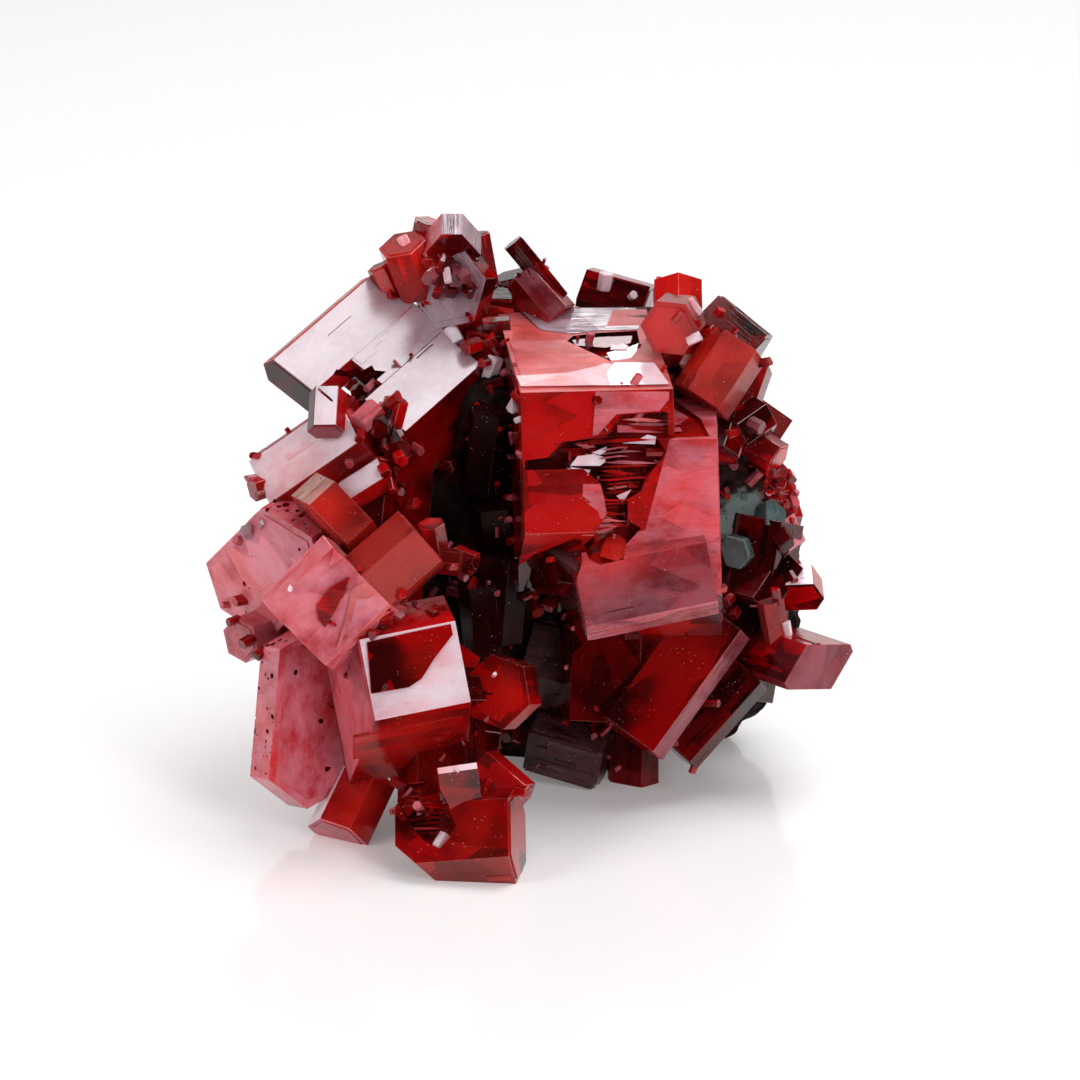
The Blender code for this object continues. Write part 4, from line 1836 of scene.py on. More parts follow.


# Here and in the right half's crystals, near-white dressed faces are painted sheen.
LEFT_CRYSTALS = (
    Prism("left_heart", (-16, 10, -1), 85, -4, 10, (6.5, 6.5, 6.5), 21, tone=WINE),
    Prism("left_bridge", (-4, -19.5, 0), -8, -4, 0, (3.4, 3.4, 3.4), 15, tone=WINE),
    Prism("crown_root", (-8.8, 23.5, -6.5), 95, 8, 20, (3.2, 3.2, 3.2), 16, tone=WINE),
    Prism("behind_upper", (-22, 3, -9), 175, -40, 10, (3.6, 3.2, 3), 9),
    Prism("behind_middle", (-23.5, -7, -6), 205, -35, 25, (3, 3.4, 3), 9),
    Prism("behind_lower", (-16.5, -15, -7), 235, -50, 0, (3.8, 3.2, 3.2), 10),
    Prism("behind_foot", (-9, -18.5, -3), 265, -35, 15, (2.8, 3.2, 2.8), 9),
    Prism("slab_edge", (-24.7, 16.7, 2), 223, 33, -16, (5, 1.9, 1.9), 14.5, corner=5, steps=5, rise=0.1,
          dressed=((0, PALE), (6, WINE))),
    Prism("slab_middle", (-18.1, 17.2, 0), 223, 33, -16, (5.5, 2.5, 2.5), 9.5, corner=5, steps=4, rise=0.08,
          dressed=((0, PALE),)),
    Prism("slab_thick", (-12.4, 10, 3.8), 223, 33, -16, (5, 6, 5), 11.3, corner=0, tone=WINE, steps=5,
          rise=0.1, dressed=((0, PALE),)),
    Prism("crown_front", (-7.2, 28.4, 0), -90, 37, 0, (2, 3.4, 3.4), 2.6, corner=0, tone=DEEP,
          dressed=((0, STRIPED), (1, PALE), (5, LILAC))),
    Prism("crown_plate", (-8.6, 23.7, -3), 190, 60, 30, (4.2, 4.2, 4.2), 2.2, tone=DEEP,
          dressed=((6, PALE),)),
    Prism("crown_red", (-12.9, 27.7, -3), 110, 35, 20, (2.4, 2.2, 2.4), 5.4),
    Prism("crown_left", (-15.2, 25.7, -5), 115, 20, 10, (1.2, 1.1, 1.1), 4),
    Prism("crown_back", (-10.5, 29.9, -4.5), 80, 25, 30, (1.6, 1.4, 1.4), 5),
    Prism("crown_right", (-5.8, 28.8, -5), 100, 15, 25, (1.2, 1.2, 1.2), 5),
    Prism("crown_nub_left", (-9.5, 24.4, -0.4), 250, 50, 10, (1.2, 1.2, 1.2), 2.5, tone=DEEP),
    Prism("crown_nub_mid", (-7.8, 24.2, -0.8), 280, 55, 20, (0.9, 0.9, 0.9), 2.5, tone=PLUM),
    Prism("crown_nub_right", (-6.3, 23.2, -1.4), 300, 50, 20, (0.7, 0.7, 0.7), 2, tone=DEEP),
    Prism("shelf_top", (-16.5, 9, 8), 34, 17, 23, (4.7, 3.5, 3), 10.6, corner=5, steps=4, rise=0.08,
          dressed=((0, WHITE), (5, RED))),
    Prism("shelf_low", (-14.1, 5.8, 8), 32, 17, 23, (2, 1.5, 1.5), 4.5, corner=5, dressed=((0, WHITE),)),
    Prism("shelf_nub", (-26.5, 4.6, 4), 200, 30, 10, (1.3, 1, 1), 3.5),
    Prism("upright_white", (-18.6, 10.5, 9), 268, 30, -5, (2.1, 1.4, 1.4), 4.2, corner=0, tone=DEEP,
          dressed=((0, WHITE), (6, PLUM))),
    Prism("upright_mid", (-16, 10.5, 8.5), 225, 20, -10, (1.2, 1, 1), 2.4, corner=0, tone=DUSTY),
    Prism("upright_back", (-14, 12.9, 5.5), 75, 15, 10, (1.2, 1.2, 1.2), 3.5, corner=0),
    Prism("nest_a", (-14.9, 10.1, 7.5), 250, 55, 10, (1.2, 1.2, 1.2), 2.5, tone=WINE),
    Prism("nest_b", (-13, 8.1, 7), 300, 50, 10, (1.3, 1.3, 1.3), 3, tone=WINE),
    Prism("nest_c", (-12.5, 6, 7), 20, 40, 10, (1.2, 1.2, 1.2), 3, tone=WINE),
    Prism("golden", (-20.9, 3.2, 12), 223, 11, -5, (5, 4.5, 4.5), 3.2, corner=5, tone=BROWN,
          dressed=((5, GOLDEN),)),
    Prism("blade_front", (-19.3, -11.3, 14.5), 224, -4, 10, (7.3, 5, 2.2), 8, corner=0, tone=LILAC,
          steps=4),
    Prism("blade_upper", (-11.3, 0.9, 15.6), 41, 0, -20, (3.9, 3, 3.5), 9, corner=0, tone=BROWN),
    Prism("peach", (-9.9, 1.5, 11), 100, 30, 20, (1.4, 1.2, 1.2), 3),
    Prism("chip_long", (-7.1, -1.2, 11), -8, 20, 10, (1.4, 1.2, 1.2), 3.6, corner=0),
    Prism("chip_short", (-5.9, -1.4, 11), -20, 20, 10, (1.2, 1.1, 1.1), 2.2, corner=0),
    Prism("plate_low", (-24.8, -21.9, 8), 355, 58, 0, (12, 10.5, 5), 3.6, corner=5, steps=5, rise=0.12,
          pits=30, tone=LILAC),
    Prism("plate_high", (-25.5, 3, 6), 213, 42, -36, (6, 4.7, 11.5), 5, corner=5, steps=4, rise=0.1,
          pits=26, tone=LILAC),
    Prism("plate_rough", (-27.8, -9.3, 1), 200, 50, 10, (2.2, 2.2, 2.2), 4, tone=DUSTY),
    Prism("under_blade", (-13.8, -7.7, 11), 30, 30, 10, (2.2, 2.2, 2.2), 5, tone=WINE),
    Prism("box_top", (-17.1, -16.7, 14.8), 191, 9, 0, (7.4, 11.5, 5), 11.2, corner=0,
          cuts=(((0.24, 0, 0.97), -0.56),), dressed=((0, WHITE), (1, RED), (8, DUSTY))),
    Prism("box_step", (-5.6, -20.6, 14), 8, -5, -15, (3.6, 0.8, 3), 3.6, corner=0, tone=DEEP,
          dressed=((1, WHITE),)),
    Prism("foot_front", (-2.8, -28.4, 16), 5, 11, 20, (5.5, 5, 3.6), 10.5, corner=5,
          cuts=(((0.2, -0.7, -0.7), 8),), tone=DEEP, steps=4, dressed=((5, BROWN),)),
    Prism("hex_front", (-3.9, -13.8, 10), 178, 65, 47, (3.5, 3.5, 3.5), 2.5, tone=DEEP),
    Prism("hex_root", (-4, -13.8, 7.6), 0, 0, 10, (2.2, 2.2, 2.2), 9, tone=WINE),
    Prism("foot_left", (-17.4, -26.4, 7.5), 245, 25, -16, (3, 3, 3.3), 6.5, corner=0,
          dressed=((5, WHITE), (6, DUSTY))),
    Prism("ragged", (-1.8, -23.7, 9), -40, 20, 10, (2.2, 2, 2), 5),
    Prism("foot_root", (-9, -16, 2), 90, -25, 0, (4.4, 3.8, 3.8), 11, tone=WINE, steps=6),
)

RIGHT_CRYSTALS = (
    Prism("right_heart", (8, 14, -6), 88, 0, 10, (6.5, 6.5, 6.5), 31, tone=WINE),
    Prism("ridge_root", (7, 18.5, -9.5), 145, 0, 15, (4, 4, 4), 18, tone=WINE),
    Prism("ridge_base", (13.5, 19.2, -9), 0, 0, 10, (3, 3, 3), 15, tone=WINE),
    Prism("side_root", (21, 2, -7), 80, 0, 5, (4, 4, 4), 17, tone=WINE),
    Prism("chest_top", (-1.8, 13.5, 7.5), 181.8, 8, 0, (13, 8, 16), 14.2, corner=5, steps=6, rise=0.1,
          dressed=((5, SALMON), (6, DEEP))),
    Prism("chest_main", (16.6, -5, 6.5), 1.5, 2, 3, (14.4, 9, 9), 9, corner=5, tone=DUSTY, steps=5,
          rise=0.1, dressed=((5, DEEP),)),
    Prism("chest_low", (4.2, -8, 7.9), 191.5, 3, 0, (5.5, 2.5, 2.5), 12.4, corner=0, tone=PLUM,
          dressed=((1, DUSTY),)),
    Prism("under_chest", (2.1, -4.6, 2), 265, 15, 10, (3.5, 3, 3), 6, tone=WINE),
    Prism("ridge_dark", (9.5, 21.3, -10), -16, 10, 20, (3.2, 2.8, 2.8), 6.4, corner=5, tone=DEEP,
          dressed=((6, PLUM), (0, DEEP))),
    Prism("ridge_roof", (13, 25.2, -4.8), 90, -28, 30, (2.6, 2.6, 2.6), 8.5, corner=5),
    Prism("ridge_hex", (12, 19.6, 2), 225, 70, 20, (2.8, 2.8, 2.8), 4),
    Prism("ridge_brown", (20.1, 17.6, 1), 57, -8, -3, (3.4, 2.6, 3), 6.6, corner=5, tone=BROWN),
    Prism("ridge_back", (20, 17.2, -2), -40, 12, 20, (3, 2.6, 2.6), 6, tone=WINE),
    # The cleft crystals are near-black: painted shade in the deep cleft.
    Prism("cleft_upper", (-4.4, 12, 0.5), 82, 20, 15, (2.4, 2.2, 2.2), 8, tone=SHADE),
    Prism("cleft_middle", (-4.2, 3.5, -0.5), 98, 25, 5, (2.6, 2.2, 2.2), 8, tone=SHADE),
    Prism("cleft_lower", (-3.4, -1.5, 1), 85, 15, 20, (2.8, 2.4, 2.4), 8, tone=SHADE),
    Prism("cleft_foot", (-5.4, -3.8, 1), 95, 20, 0, (2.4, 2.2, 2.2), 7, tone=SHADE),
    Prism("ridge_side", (19.9, 12.1, -3), 250, 20, 10, (2, 2, 2), 5, corner=0),
    Prism("ridge_end", (21.5, 7.3, -3), -32, 20, 10, (1.8, 2, 2), 4.5, corner=5),
    Prism("ridge_low", (18.1, 9.8, -2), 215, 25, 15, (2.2, 1.8, 1.8), 3.8, tone=DEEP),
    Prism("ridge_mid", (17, 7.9, -1), 250, 30, 25, (1.8, 1.6, 1.6), 4, tone=DEEP),
    Prism("peak_lean", (-2.6, 28, -5.5), 130, 10, -30, (0.9, 1.3, 1.3), 7, tone=DEEP),
    Prism("peak_long", (-1.7, 24.7, -7), 131, -10, -10, (2, 2.4, 2.4), 5.2, dressed=((0, PLUM),)),
    Prism("saddle_left", (-2.2, 25.2, -8.5), 105, 15, 10, (3.2, 2.8, 2.8), 6, tone=WINE),
    Prism("saddle_right", (1.4, 23.4, -9.5), 60, 15, 30, (2, 2, 2), 5, tone=WINE),
    Prism("saddle_foot", (-5, 19.5, -4), 80, 10, 15, (2.4, 2.2, 2.2), 7, tone=WINE),
    Prism("side_hex", (20.9, -0.5, -5), 212, 60, 10, (2.8, 2.8, 2.8), 4, tone=WINE,
          dressed=((0, LILAC), (1, PLUM))),
    Prism("side_cap", (25.7, -4.1, -4), -88, 58, 0, (2.9, 2, 1.4), 3.5, corner=0,
          dressed=((0, WHITE), (6, DEEP))),
    Prism("side_box", (24.7, -9.7, 2), 341.6, 55, 15, (4.1, 5.1, 0.8), 8, corner=0, tone=DEEP,
          dressed=((6, PLUM),)),
    Prism("side_wedge", (19.8, -6.5, -4), 235, 25, 20, (2.6, 2.2, 2.2), 6, tone=WINE),
    Prism("side_post", (21.5, -5.6, -2), 100, 15, 10, (1, 1.6, 1.6), 4.5, tone=BROWN),
    Prism("deep_red", (10.5, -19.6, 2), 234, 6, -5, (5.4, 2.2, 5), 14, corner=0, tone=DEEP, steps=6,
          rise=0.1, dressed=((1, PLUM),)),
    Prism("edge_red", (14, -20.7, -1), 228, 5, 0, (3.5, 2, 3), 10, corner=0, tone=WINE, steps=6, rise=0.15),
    Prism("foot_right", (9.6, -23.4, -7), 270, -3, -25, (3.3, 2, 2.5), 9, corner=0, tone=WINE),
    Prism("block_upper", (4.9, -14.2, -3), -14, 5, 10, (5, 4, 4), 7, corner=5, tone=BLOCK, steps=10,
          rise=0.35),
    Prism("block_lower", (5.6, -20, -4), -16, 10, 30, (3, 3.5, 4), 7, corner=5, tone=BLOCK, steps=10,
          rise=0.35),
)

BACK_CRYSTALS = (
    Prism("back_tall", (6, 13, -21), 75, -35, 10, (3.6, 3, 3), 9),
    Prism("back_wide", (-9, 5, -20), 200, -60, 20, (4.5, 3.5, 3.5), 7),
    Prism("back_low", (10, -3, -23), 330, -50, 0, (3.5, 3.5, 3), 8),
    Prism("back_stub", (0.5, 0, -24), 260, -65, 25, (2.6, 2.6, 2.6), 6),
    Prism("flank_right", (24, 3, -15), 10, -25, 15, (3, 2.5, 2.5), 7),
    Prism("flank_left", (-22, 0, -13), 175, -25, 15, (3.5, 3, 3), 8),
    Prism("shoulder_left", (-15, 15, -12), 130, -20, 5, (3.2, 3, 3), 8),
    Prism("shoulder_right", (17, 13, -14), 50, -20, 5, (3, 3, 3), 8),
)

LEFT_HOLLOWS = (
    hollow("slab_hollow", 1.9, ((-20.8, 13.9), (-19, 15.9), (-18, 15.7), (-17, 16.1), (-16.6, 15.7),
           (-15.6, 16.3), (-15.3, 15.8), (-14.2, 15.7), (-15.3, 14.8), (-16.2, 13.6), (-19.5, 12.8))),
    hollow("foot_pit", 2, ((-13.5, -24.2), (-12.6, -22.7), (-10.8, -22.1), (-9.3, -23.1), (-8.4, -24.7),
           (-7.6, -27), (-9.3, -28.8), (-10.8, -28.1), (-12.3, -26.2))),
)

RIGHT_HOLLOWS = (
    hollow("strip_hollow", 1.7, ((6, 9.6), (7.3, 11.7), (11.2, 11.9), (12.6, 13), (15.1, 11.3), (16, 9.6),
           (11.2, 9.4), (7.9, 8.8))),
    hollow("blade_hollow", 2.6, ((-1.6, 7.4), (0.6, 7.7), (2, 9.2), (6, 9.6), (11.2, 9.4), (11.9, 8.2),
           (11.3, 7.3), (10, 5.8), (9.5, 4.5), (8.2, 3.7), (6.1, 3.7), (5.6, 5.2), (4, 6.6), (-1.6, 6.5))),
    hollow("lower_hollow", 2.2, ((6, 3.7), (8.2, 3.7), (8.2, 1.9), (9.5, 1.1), (8, -0.5), (7.8, -1.9),
           (5.6, -2.4), (4.5, -1.9), (4, -0.5), (4.9, 0.3), (6.2, 2.5))),
    hollow("corner_hollow", 1.9, ((-2.3, -0.1), (4, 0.2), (4, -1.9), (3.5, -3.5), (3.7, -7.6), (0, -7.3),
           (-2.3, -5.4))),
    hollow("top_hollow", 2.4, ((2.4, 18.5), (3, 19), (5.6, 19.3), (9.1, 19.5), (9.4, 18), (8.6, 16.9),
           (6.5, 16.6))),
)

LEFT_SHARDS = (
    Shard("blade_vein", ((-20.8, -6), (-19.5, -4.4), (-17.7, -3.4), (-18.1, -4.7), (-19.1, -6.7),
          (-20, -8.2), (-20.6, -7.4)), 0.25, 0.5, RED),
    Shard("blade_pale", ((-17.5, -4.7), (-16.3, -3.9), (-13.9, -6.2), (-15.8, -8.4), (-17.7, -10.2),
          (-18.9, -10), (-18.1, -7.4)), 0.3, 0.5, SALMON),
    # A dark red sheet over the box's upper-left corner: a painted shadow.
    Shard("box_painted_shadow", ((-16.1, -9.5), (-12.2, -8.6), (-8.3, -7.8), (-8.1, -8.8), (-9.8, -11), (-11, -12.9),
          (-12.2, -13.7), (-15.7, -14.3)), 0.18, 0.9, DEEP),
)

# The near-white sheets are painted sheen.
RIGHT_SHARDS = (
    Shard("top_band_left", ((-2.2, 15.3), (2, 15.5), (4.4, 15.9), (4.9, 14.4), (-1.8, 14.3)), 0.4, 1,
          LILAC),
    Shard("top_band_middle", ((3.6, 15.8), (5.5, 16.2), (6, 16.5), (7.2, 16.2), (6.9, 14.4), (4.4, 14.4)),
          0.45, 1, LILAC),
    Shard("top_band", ((6.5, 14.4), (6.2, 15.6), (6.9, 16.5), (10.6, 16.5), (11.9, 15.7), (12, 14.5)), 0.5,
          1.1, WHITE),
    Shard("back_ledge", ((-1.6, 21.2), (3, 21.6), (9, 21.6), (9.2, 19.6), (5.6, 19.5), (2.8, 19.2),
          (0, 19.6)), 0.15, 0.9, STRIPED),
    Shard("ledge_low", ((3, 18.6), (5.6, 18.9), (8.6, 19), (8.4, 18.3), (6.1, 17.9), (3.3, 18.1)), -0.5,
          0.9, PLUM),
    Shard("strip_bar", ((7.2, 10.7), (13, 10.5), (13.2, 10.1), (11.2, 10), (7.2, 10)), -0.5, 1.5, DUSTY),
    Shard("white_top", ((7.6, 9), (8.9, 9.2), (10, 9.8), (10.8, 9.6), (10.7, 8.9)), -0.2, 1.2, WHITE),
    Shard("white_wing", ((2.8, 6.9, 0.1), (3.5, 7.8, -0.1), (5, 8, -0.3), (6, 7.7), (6.1, 7.3),
          (5.6, 6.9, -0.2)), -0.5, 1.6, WHITE),
    Shard("white_wing_low", ((2.8, 6.8, 0.1), (4.7, 6.5, -0.3), (4.5, 6.1), (3.6, 5.9, -0.4)), -0.5, 1.4,
          WHITE),
    Shard("white_nib", ((4.8, 8.1), (6.2, 8.7), (6.1, 8.2), (5.6, 7.9)), -0.4, 1, WHITE),
    Shard("blade_five", ((3.3, 8.9), (5.6, 9.5), (7.3, 9.3), (6, 8.9)), -0.6, 1.5, RED),
    Shard("blade_six", ((1.9, 8.5), (4.7, 8.6), (5.2, 8.3), (2.8, 8)), -0.9, 1.5, DEEP),
    Shard("pink_nib", ((7.1, 4.1), (8.5, 4.7), (7.7, 3.5)), -0.2, 1.2, WHITE),
    Shard("pink_wedge", ((4.7, 0.4), (5.6, 1.5), (7.6, 1.5), (6.1, 0.7)), -0.4, 1.4, DUSTY),
    Shard("orange_lump", ((5.6, -1.5), (5.4, -0.6), (6.1, 0.2), (7.3, 0.5), (8, 0), (8.1, -1.5), (7.1, -2)),
          -0.3, 2, RED, 0.8),
    Shard("dark_plate", ((0.6, -0.9), (3.8, -0.7), (3.5, -3), (3.7, -6.7), (0.9, -6.1)), -0.9, 1.8, BLOCK),
    Shard("dark_pillar", ((-2, -0.5), (0.2, -0.5), (0.1, -4.7), (-2, -4.8)), -0.8, 1.8, DEEP),
    Shard("step_facet", ((4, 5.2), (5.6, 5.2), (6, 3.7), (6.2, 2.5), (5, 0.4), (3.9, 0.4)), 0.12, 1, DUSTY),
    Shard("upper_facet", ((5.2, 13.8), (12, 13.8), (12, 13.1), (11.1, 12), (7.1, 11.7), (5.4, 9.8),
          (4.9, 9.7)), 0.12, 0.8, DUSTY),
    Shard("top_ledge_white", ((6.2, 17.4), (7.3, 17.7), (8.4, 18), (9.4, 18.4), (8.6, 16.9), (6.6, 16.7)),
          -0.5, 1.4, WHITE),
    Shard("top_teeth", ((6.5, 17.7), (6.7, 18.2), (7.3, 18.1), (7.6, 18.3), (8.2, 18.1), (8.1, 17.7)), -0.3,
          1.2, DUSTY),
)

FOOT_SAW = SawEdge("foot_saw", -13, -22.3, -27.6, 4.6, 12, 41, -0.3, (WINE, DEEP, BROWN))
SAW_EDGES = (
    SawEdge("upper_saw", 5.6, 9.4, 4.2, 5.6, 13, 5),
    SawEdge("inner_saw", 3.2, 9.2, 6.6, 3.0, 5, 9, -0.7),
    SawEdge("lower_saw", 5.4, 3.9, 0.8, 3.0, 8, 12),
    SawEdge("strip_saw", 8.0, 11.4, 9.8, 6.0, 4, 21),
    SawEdge("slit_saw", 6.0, 2.4, 1.0, 2.6, 4, 31, -0.1),
)

# The near-white sprouts are painted sheen on small facets.
SPROUTS = tuple(Sprout(*row) for row in (
    # the deep gap between the halves
    (-3, 22.7, 2.4, 3.2, 178, 5, DEEP), (-3, 21.2, 2.6, 3, 170, 10, RED),
    (-3.2, 19.9, 2.2, 3, 185, 5, DEEP), (-4, 17.6, 1.8, 2.2, 120, 30, RED),
    (-4.6, 16.6, 1.4, 1.6, 200, 40, DEEP),
    # the crown
    (-10, 26.2, 1.8, 1.4, 240, 50, DEEP), (-9.9, 24.6, 1.7, 1.3, 220, 50, PLUM),
    (-8.3, 23.4, 1.6, 1.3, 270, 50, DEEP), (-7.1, 24.6, 1.5, 1.2, 310, 50, PLUM),
    (-9.4, 23.2, 1.2, 1.1, 250, 50, RED), (-6.9, 23, 1, 1, 330, 50, DEEP),
    (-12.7, 27.8, 1.3, 1.7, 300, 20, WHITE), (-9, 26.2, 0.7, 0.6, 260, 60, WHITE),
    (-8.6, 24.9, 1, 1.3, 280, 20, WHITE), (-8.2, 19.4, 1.4, 1.8, 300, 20, WHITE),
    (-6, 18.3, 1.8, 1.8, 200, 35, DEEP), (-4.7, 15.2, 2.1, 2.7, 70, 20, WHITE),
    (-4.9, 21, 0.9, 0.9, 90, 60, DUSTY), (-5.5, 19.6, 0.8, 0.8, 40, 50, WHITE),
    (-6.5, 20.6, 0.9, 0.9, 120, 50, DEEP),
    # the right half, left edge
    (-2.6, 12.3, 1.2, 1.6, 60, 20, WHITE), (-2.2, 13.4, 1.2, 1.2, 30, 65, RED),
    (-3.3, 15.6, 1, 1, 30, 60, DUSTY), (-1.8, 8, 1, 1, 330, 60, DUSTY), (-2, 11.2, 0.7, 0.8, 20, 50, WHITE),
    (-2.6, 9.3, 0.5, 1.2, 100, 40, DUSTY), (-3.8, 10.2, 0.6, 0.7, 60, 60, DEEP),
    (-4, 5.1, 0.7, 0.7, 60, 60, RED), (-3, 1.9, 0.6, 0.6, 0, 60, DUSTY),
    (-2.8, -0.1, 0.9, 0.9, 20, 50, RED), (-3.7, 2, 0.5, 0.5, 30, 60, DUSTY),
    (-4, 0.6, 0.4, 0.9, 90, 30, DUSTY), (-3.2, 4, 0.6, 0.6, 30, 60, RED),
    # the ridge
    (6, 23.6, 1.4, 1.8, 80, 20, WHITE), (8.6, 22.6, 0.9, 0.8, 40, 65, WHITE),
    (12.6, 20.6, 0.8, 1.4, 50, 30, RED), (14.6, 21.4, 1.3, 1.7, 130, 20, WHITE),
    (14.1, 18.6, 1, 1.3, 25, 20, WHITE), (15.5, 19.3, 1.3, 1.3, 15, 50, RED),
    (13.8, 17.1, 1.2, 1.6, 240, 20, WHITE), (16.6, 21, 1, 0.9, 60, 40, RED),
    (20.6, 16.5, 1.2, 1.3, 10, 30, DEEP), (19.9, 10.8, 1.5, 1.4, 330, 30, PLUM),
    (18.1, 10, 1.2, 1.3, 200, 40, RED),
    # the right side
    (17.1, 5.8, 1.2, 1.3, 150, 45, RED), (17.3, 3.3, 1.4, 1.3, 330, 45, DEEP),
    (17.4, 0.7, 1.6, 1.4, 340, 50, RED), (17.3, -1.9, 1.3, 1.2, 330, 45, DUSTY),
    (20.5, 4.5, 1.4, 1.4, 30, 25, RED), (18.9, 3.9, 3, 1.6, 40, 55, MOSS),
    (20.9, 2.2, 3.4, 2.2, 20, 50, MOSS), (18.2, -1, 3.8, 1.4, 200, 65, MOSS),
    (22.4, 0.3, 2.2, 2, 300, 45, WINE), (24.5, -1.9, 1.3, 1.4, 330, 30, RED),
    (23.4, -3.3, 1, 1.1, 300, 40, DEEP), (25.3, -7.6, 1.6, 1.6, 60, 35, RED),
    (26.6, -8.2, 1.4, 1.5, 40, 35, DUSTY), (27.7, -8.7, 1.1, 1.1, 20, 30, RED),
    (23, -8.8, 1.3, 1.7, 100, 20, WHITE), (17.6, -5.6, 1.5, 1.2, 220, 50, RED),
    (16.9, -4.5, 1, 1.1, 200, 50, RED), (18.2, -6.6, 1, 1.1, 240, 45, RED),
    (22, -5.6, 1.3, 1.6, 100, 20, RED),
    # the left plates and the edge over the box
    (-27.2, 0.7, 1.4, 1.2, 120, 60, PALE), (-27.9, -0.1, 0.9, 0.9, 160, 50, DUSTY),
    (-25.9, 1.4, 1, 0.9, 60, 60, PALE), (-23.2, -4.5, 0.5, 0.4, 250, 60, WHITE),
    (-14.3, -7.4, 1.8, 1.2, 90, 50, RED), (-13.2, -7.1, 1.2, 1.2, 60, 60, DUSTY),
    (-15.3, -8.7, 1.1, 1.1, 200, 60, RED),
    # the slab, the shelf and the nest under them
    (-15.6, 14.5, 0.9, 1.6, 230, 50, DUSTY), (-17, 13.8, 0.8, 1, 200, 60, RED),
    (-13.8, 12.8, 1.2, 1.6, 40, 40, RED), (-16.6, 10.2, 1, 2, 265, 50, RED),
    (-14.4, 9.2, 1, 1.6, 260, 50, DEEP), (-13.2, 7.9, 1.6, 1.4, 300, 50, RED),
    (-11.7, 8.6, 1.3, 1.3, 330, 40, PLUM), (-14.5, 6.5, 1.2, 1.3, 300, 50, RED),
    (-13.3, 4.7, 1.1, 1.2, 330, 50, DEEP), (-12, 3.3, 1.1, 1.2, 10, 50, RED),
    (-17.7, 7.3, 1, 1, 270, 60, DUSTY), (-26.2, 7.8, 0.9, 1, 170, 40, RED),
    (-26.8, 5.8, 0.8, 0.9, 190, 40, DUSTY), (-25.7, 4.3, 0.9, 1.1, 200, 40, RED),
    # above the box
    (-13, -5.2, 1, 1, 30, 60, RED), (-11.5, -6, 0.9, 1, 330, 60, DUSTY),
    (-8.6, -2.4, 1.2, 1.4, 350, 50, RED), (-7.3, -3.3, 0.9, 1, 330, 50, PLUM),
    (-6.5, -2.4, 1.1, 1.2, 20, 50, DEEP), (-9, -4.7, 1.3, 1.3, 320, 50, RED),
    (-10.2, -6.7, 1, 1.2, 340, 50, DEEP), (-8.4, -5.6, 1.1, 1.2, 310, 45, RED),
    # the small hexagon, and the right edge of the box and the foot
    (-4.3, -12.6, 0.5, 0.5, 60, 60, WHITE), (-3.2, -18.8, 1.2, 1.2, 350, 40, RED),
    (-2.3, -20.9, 1, 1.1, 340, 40, DEEP), (-1.9, -23.2, 1.4, 1.3, 350, 40, RED),
    (-0.9, -25.3, 1.6, 1.4, 10, 40, DEEP), (-0.5, -27, 1.4, 1.2, 350, 40, RED),
    (-1.1, -28.5, 1.2, 1.2, 330, 40, DEEP), (-2.6, -19.7, 1.2, 1.2, 320, 45, DEEP),
    # the left rim
    (-27.5, -5.6, 1.2, 1.4, 190, 35, RED), (-28.3, -7.4, 1.1, 1.2, 200, 35, DEEP),
    (-27, -9.3, 1.3, 1.4, 210, 35, RED), (-25.9, -10.4, 1, 1.2, 220, 40, DEEP),
    (-29, -6.1, 0.9, 1, 180, 35, DUSTY),
    # the foot
    (-7.7, -21.4, 0.7, 0.4, 90, 75, WHITE), (-9.1, -27.6, 1.2, 1.6, 240, 20, WHITE),
))

# Spots of painted glow, where the stone is coloured as if light came through it.
PAINTED_GLOWS = tuple(PaintedGlow(*row) for row in (
    ((-4, -14, 10), 4.5, 0.5), ((-12.9, 26, -2), 5, 1), ((-19.5, 2.5, 11), 3.5, 1),
    ((-21.7, -1.8, 13), 5, 0.5), ((-28.5, -5.5, 3), 5, 0.6), ((5.5, -0.5, 7), 7, 0.8),
    ((10, 3.7, 8), 8, 0.35), ((-0.5, 17.9, 7), 8, 0.6), ((1.8, 10, 9), 6, 0.45),
    ((11.9, 21.1, 2), 4.5, 0.8), ((14.1, 17.7, 0), 4, 1), ((14.7, 11.1, 4), 5, 0.7),
    ((9.1, 12.8, 8), 5, 0.3), ((-10.9, -19.1, 11), 7, 0.8), ((-16, -25.2, 7), 5, 0.8),
    ((-5.4, -26.2, 13), 5, 0.5), ((13, -10.2, 2), 6, 0.45), ((-22.1, 6, 5), 5, 0.6),
    ((-25.2, -21.1, 6), 6, 0.7), ((-9.3, 8.3, 2), 5, 0.3), ((14, 24.3, -3), 5, 0.8),
    ((-10.4, -10.9, 12), 4, 0.5), ((1.8, 1.8, 6), 6, 0.35),
))

ROCK_MIDDLE = Vector((2.5, 10.4, 18.0))
CLUSTER_NAMES = ("left_cluster", "right_cluster") + tuple(prism.name for prism in BACK_CRYSTALS)
PITTED_FACES = {"plate_low": (6, 0, 1), "plate_high": (6, 0, 1)}
SPECK_COLOUR = (0.62, 0.36, 0.36)
LINE_HEIGHT = 0.00006
LIGHT_SPREAD = (1.0, 0.06, 0.08)
LIGHT_DEPTH = 0.0022

